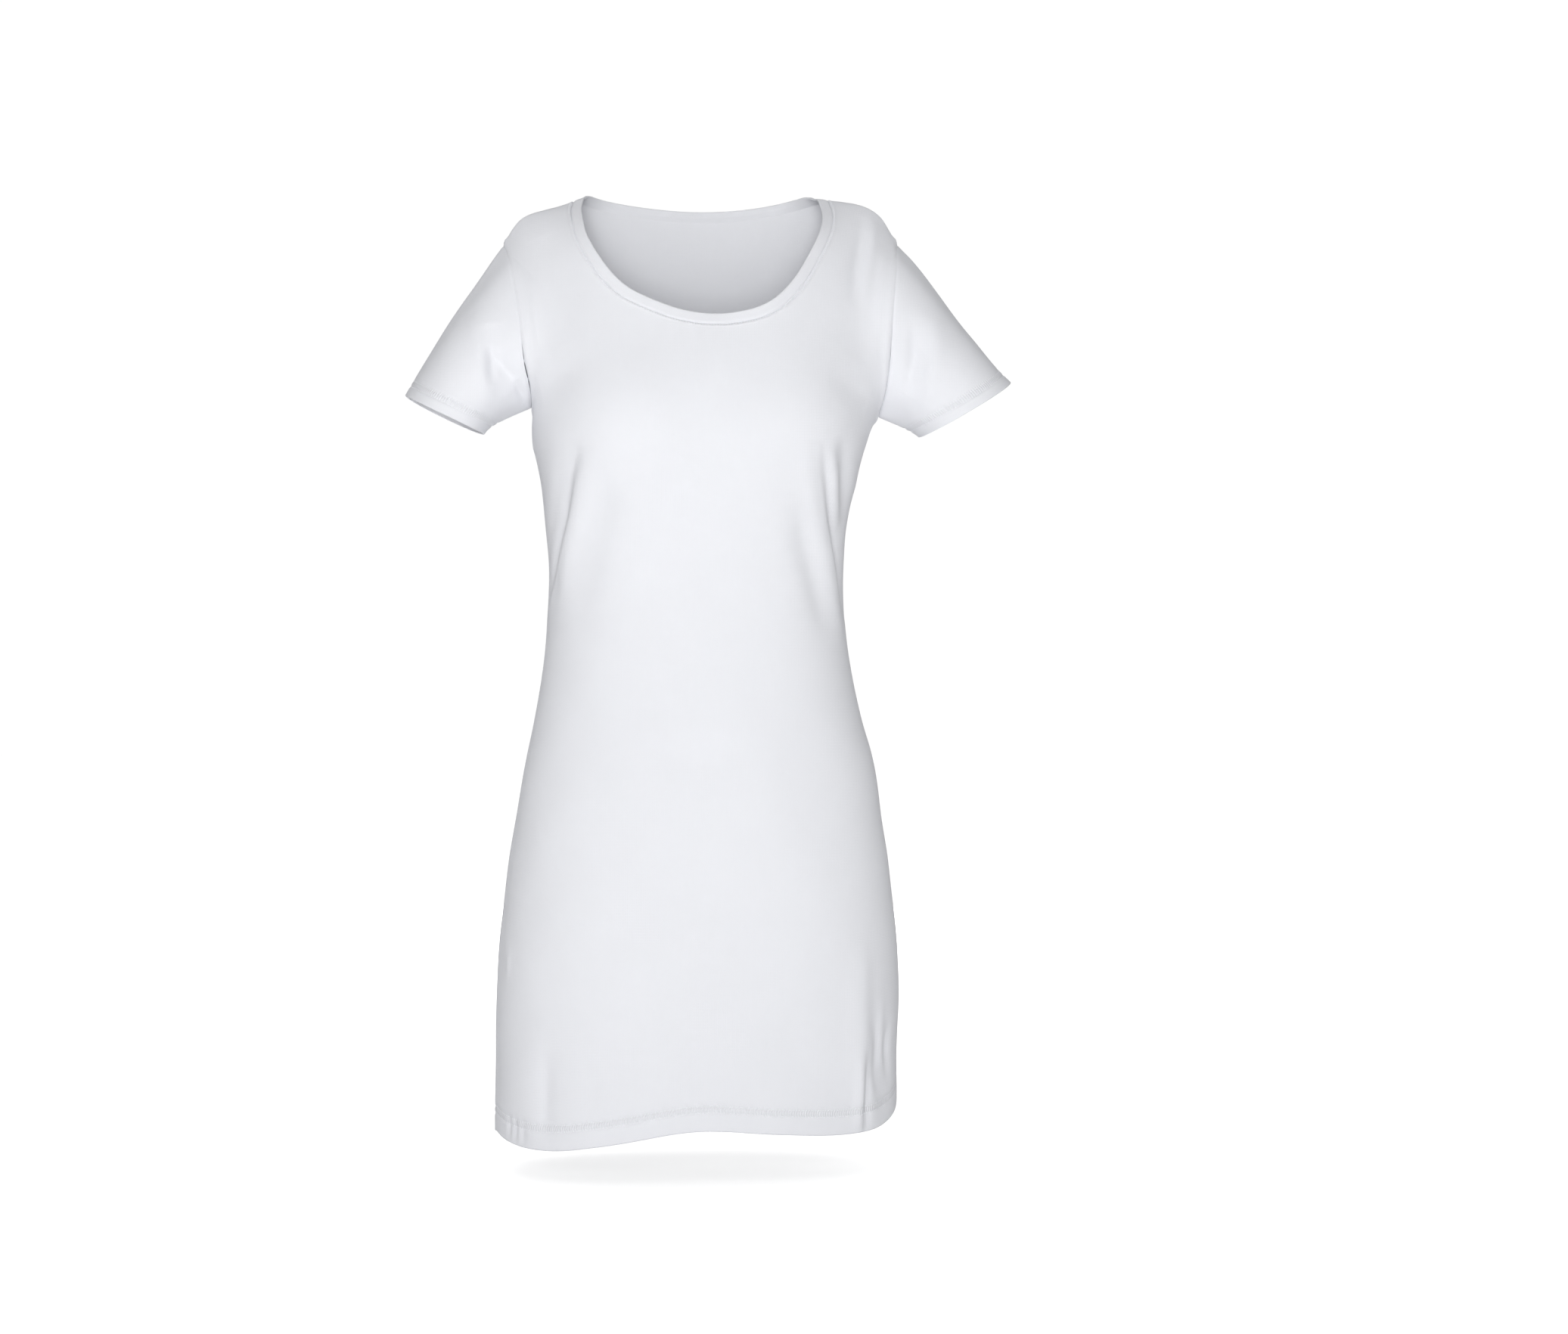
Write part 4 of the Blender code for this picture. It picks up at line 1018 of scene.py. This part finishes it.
def knit_material(name, colour, roughness, tint):
    """White single jersey: wales and courses, soft fuzz, puckers and a little unevenness of tone."""
    material = bpy.data.materials.new(name)
    material.use_nodes = True
    tree = material.node_tree
    place = add_node(tree, "TexCoord", {}).outputs["Object"]
    bands = []
    for direction, band in KNIT_BANDS.items():
        inputs = {"Vector": place, "Detail": 2.0, "Detail Scale": 1.6} | band
        wave = add_node(tree, "TexWave", inputs, wave_type="BANDS", bands_direction=direction)
        bands.append(wave.outputs["Fac"])
    slub = add_node(tree, "TexNoise", {"Vector": place} | SLUB).outputs["Fac"]
    clouds = add_node(tree, "TexNoise", {"Vector": place} | CLOUDS).outputs["Fac"]
    knit = bump(tree, product(tree, *bands), 0.22, 0.0002)
    knit = bump(tree, slub, 0.10, 0.0006, Normal=knit)
    along, puckered = (
        add_node(tree, "Attribute", {}, attribute_name=key).outputs["Fac"] for key in ("along", "puckered")
    )
    turns = product(tree, along, math.tau / PUCKER_PITCH)
    waves = add_node(tree, "Math", {0: turns}, operation="SINE").outputs[0]
    knit = bump(tree, product(tree, waves, puckered), 1.0, PUCKER_DEPTH, Normal=knit)
    tone = add_node(tree, "ValToRGB", {"Fac": clouds})
    for stop, position, share in zip(tone.color_ramp.elements, (0.30, 0.70), (tint, 1.0)):
        stop.position = position
        stop.color = tuple(value * share for value in colour) + (1.0,)
    inputs = {"Roughness": roughness, "Normal": knit, "Base Color": tone.outputs["Color"]} | FINISH
    set_inputs(tree, tree.nodes["Principled BSDF"], inputs)
    return material


def put(name, data):
    """New object in the scene."""
    made = bpy.data.objects.new(name, data)
    bpy.context.scene.collection.objects.link(made)
    return made


def add_piece(name, mesh, material, nodes=()):
    """Puts a piece in the scene, riding on the dress, and hides the solid's parts that it stands for."""
    piece = put(name, mesh)
    mesh.materials.append(material)
    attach(piece, "root")
    if nodes:
        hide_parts(*nodes)
    return piece


def look_at_photo():
    """Camera at the photograph's angle, with the dress where it stands in the frame."""
    camera = bpy.data.cameras.new("photo_camera")
    camera.sensor_fit = "HORIZONTAL"
    camera.sensor_width = SENSOR
    camera.lens = SENSOR * CAMERA_DISTANCE / (METRES_PER_PIXEL * PHOTO_WIDTH)
    camera.clip_end = 60.0
    cosine = math.cos(CAMERA_YAW)
    sine = math.sin(CAMERA_YAW)
    x = cosine * CAMERA_ASIDE - sine * CAMERA_DISTANCE
    y = -sine * CAMERA_ASIDE - cosine * CAMERA_DISTANCE
    holder = put("photo_camera", camera)
    holder.location = (x, y, CAMERA_HEIGHT)
    holder.rotation_euler = (math.pi / 2, 0.0, -CAMERA_YAW)
    bpy.context.scene.camera = holder


def add_light(name, place, aim, size, power):
    """Large soft lamp that faces a point."""
    lamp = bpy.data.lights.new(name, "AREA")
    lamp.shape = "RECTANGLE"
    lamp.size, lamp.size_y = size
    lamp.energy = power
    holder = put(name, lamp)
    holder.location = place
    toward = np.array(aim) - np.array(place)
    level = math.hypot(toward[0], toward[1])
    holder.rotation_euler = (math.atan2(level, -toward[2]), 0.0, math.atan2(-toward[0], toward[1]))


def add_daylight():
    """Very soft light from above and behind, which lays the shadow under the hem."""
    lamp = bpy.data.lights.new("behind", "SUN")
    lamp.energy = BEHIND_POWER
    lamp.angle = math.radians(50)
    put("behind", lamp).rotation_euler = (math.radians(-32), math.radians(-6), 0.0)


def add_floor():
    """Plain pale floor a little below the hem, whose own glow shows and lights nothing."""
    material = bpy.data.materials.new("studio_floor")
    material.use_nodes = True
    tree = material.node_tree
    seen = add_node(tree, "LightPath", {}).outputs["Is Camera Ray"]
    glow = {"Emission Color": WHITE, "Emission Strength": product(tree, seen, FLOOR_GLOW)}
    inputs = {"Base Color": WHITE, "Roughness": 1.0, "Specular IOR Level": 0.0} | glow
    set_inputs(tree, tree.nodes["Principled BSDF"], inputs)
    corners = [(x * FLOOR_HALF, y * FLOOR_HALF, FLOOR_LEVEL) for x, y in ((-1, -1), (1, -1), (1, 1), (-1, 1))]
    floor = put("studio_floor", mesh_of("studio_floor", np.array(corners), np.array([[0, 1, 2, 3]])))
    floor.data.materials.append(material)


def add_surround():
    """White studio all round: softer as light than as the background that shows."""
    world = bpy.data.worlds.new("studio")
    world.use_nodes = True
    tree = world.node_tree
    lighting = tree.nodes["Background"]
    set_inputs(tree, lighting, {"Color": WHITE, "Strength": WORLD_STRENGTH})
    shown = add_node(tree, "Background", {"Color": WHITE, "Strength": BACKGROUND_STRENGTH})
    path = add_node(tree, "LightPath", {})
    inputs = {0: path.outputs["Is Camera Ray"], 1: lighting.outputs[0], 2: shown.outputs[0]}
    choice = add_node(tree, "MixShader", inputs)
    set_inputs(tree, tree.nodes["World Output"], {"Surface": choice.outputs[0]})
    bpy.context.scene.world = world


def sew(name, part, rows, stitch, thread):
    """Adds the stitches of some rows of a piece."""
    title = f"{name}_{part}_stitches"
    return add_piece(title, mesh_of(title, *stitches(rows, *stitch)), thread)


def main():
    """Builds the cloth, its stitching and the studio."""
    smooth_form, grids, puckered = dressed_grids()
    inward = shared_normals(smooth_form)
    normals = shared_normals(grids)
    jersey = knit_material("white_jersey", CLOTH_COLOUR, 0.92, 0.985)
    thread = knit_material("white_thread", THREAD_COLOUR, 0.75, 0.99)
    for name, outer in grids.items():
        inner = smooth_form[name] - inward[name] * cloth_thickness(name, len(outer))[:, None, None]
        mesh = shell_mesh(name, *rounded_edges(name, outer, inner))
        note_puckers(mesh, outer, puckered[name])
        add_piece(name + "_cloth", mesh, jersey, (name,))

    for name in PANELS + SLEEVES:
        first, gap = HEM_SEWING if name in PANELS else CUFF_SEWING
        top_down = (grids[name][::-1], normals[name][::-1])
        hem_up = (grids[name], normals[name]) if name in PANELS else top_down
        rows = [line_at(name, *hem_up, distance) for distance in (first, first + gap)]
        sewn = [sew(name, "hem", rows, STITCH, thread)]
        if name in PANELS:
            row = line_at(name, *top_down, BAND_ROW_FROM_SEAM)
            sewn.append(sew(name, "neck", [row], BAND_STITCH, thread))

    look_at_photo()
    add_floor()
    for lamp in LAMPS:
        add_light(*lamp)
    add_daylight()
    add_surround()
    bpy.context.scene.view_settings.view_transform = "Standard"
    bpy.context.scene.view_settings.look = "None"


main()
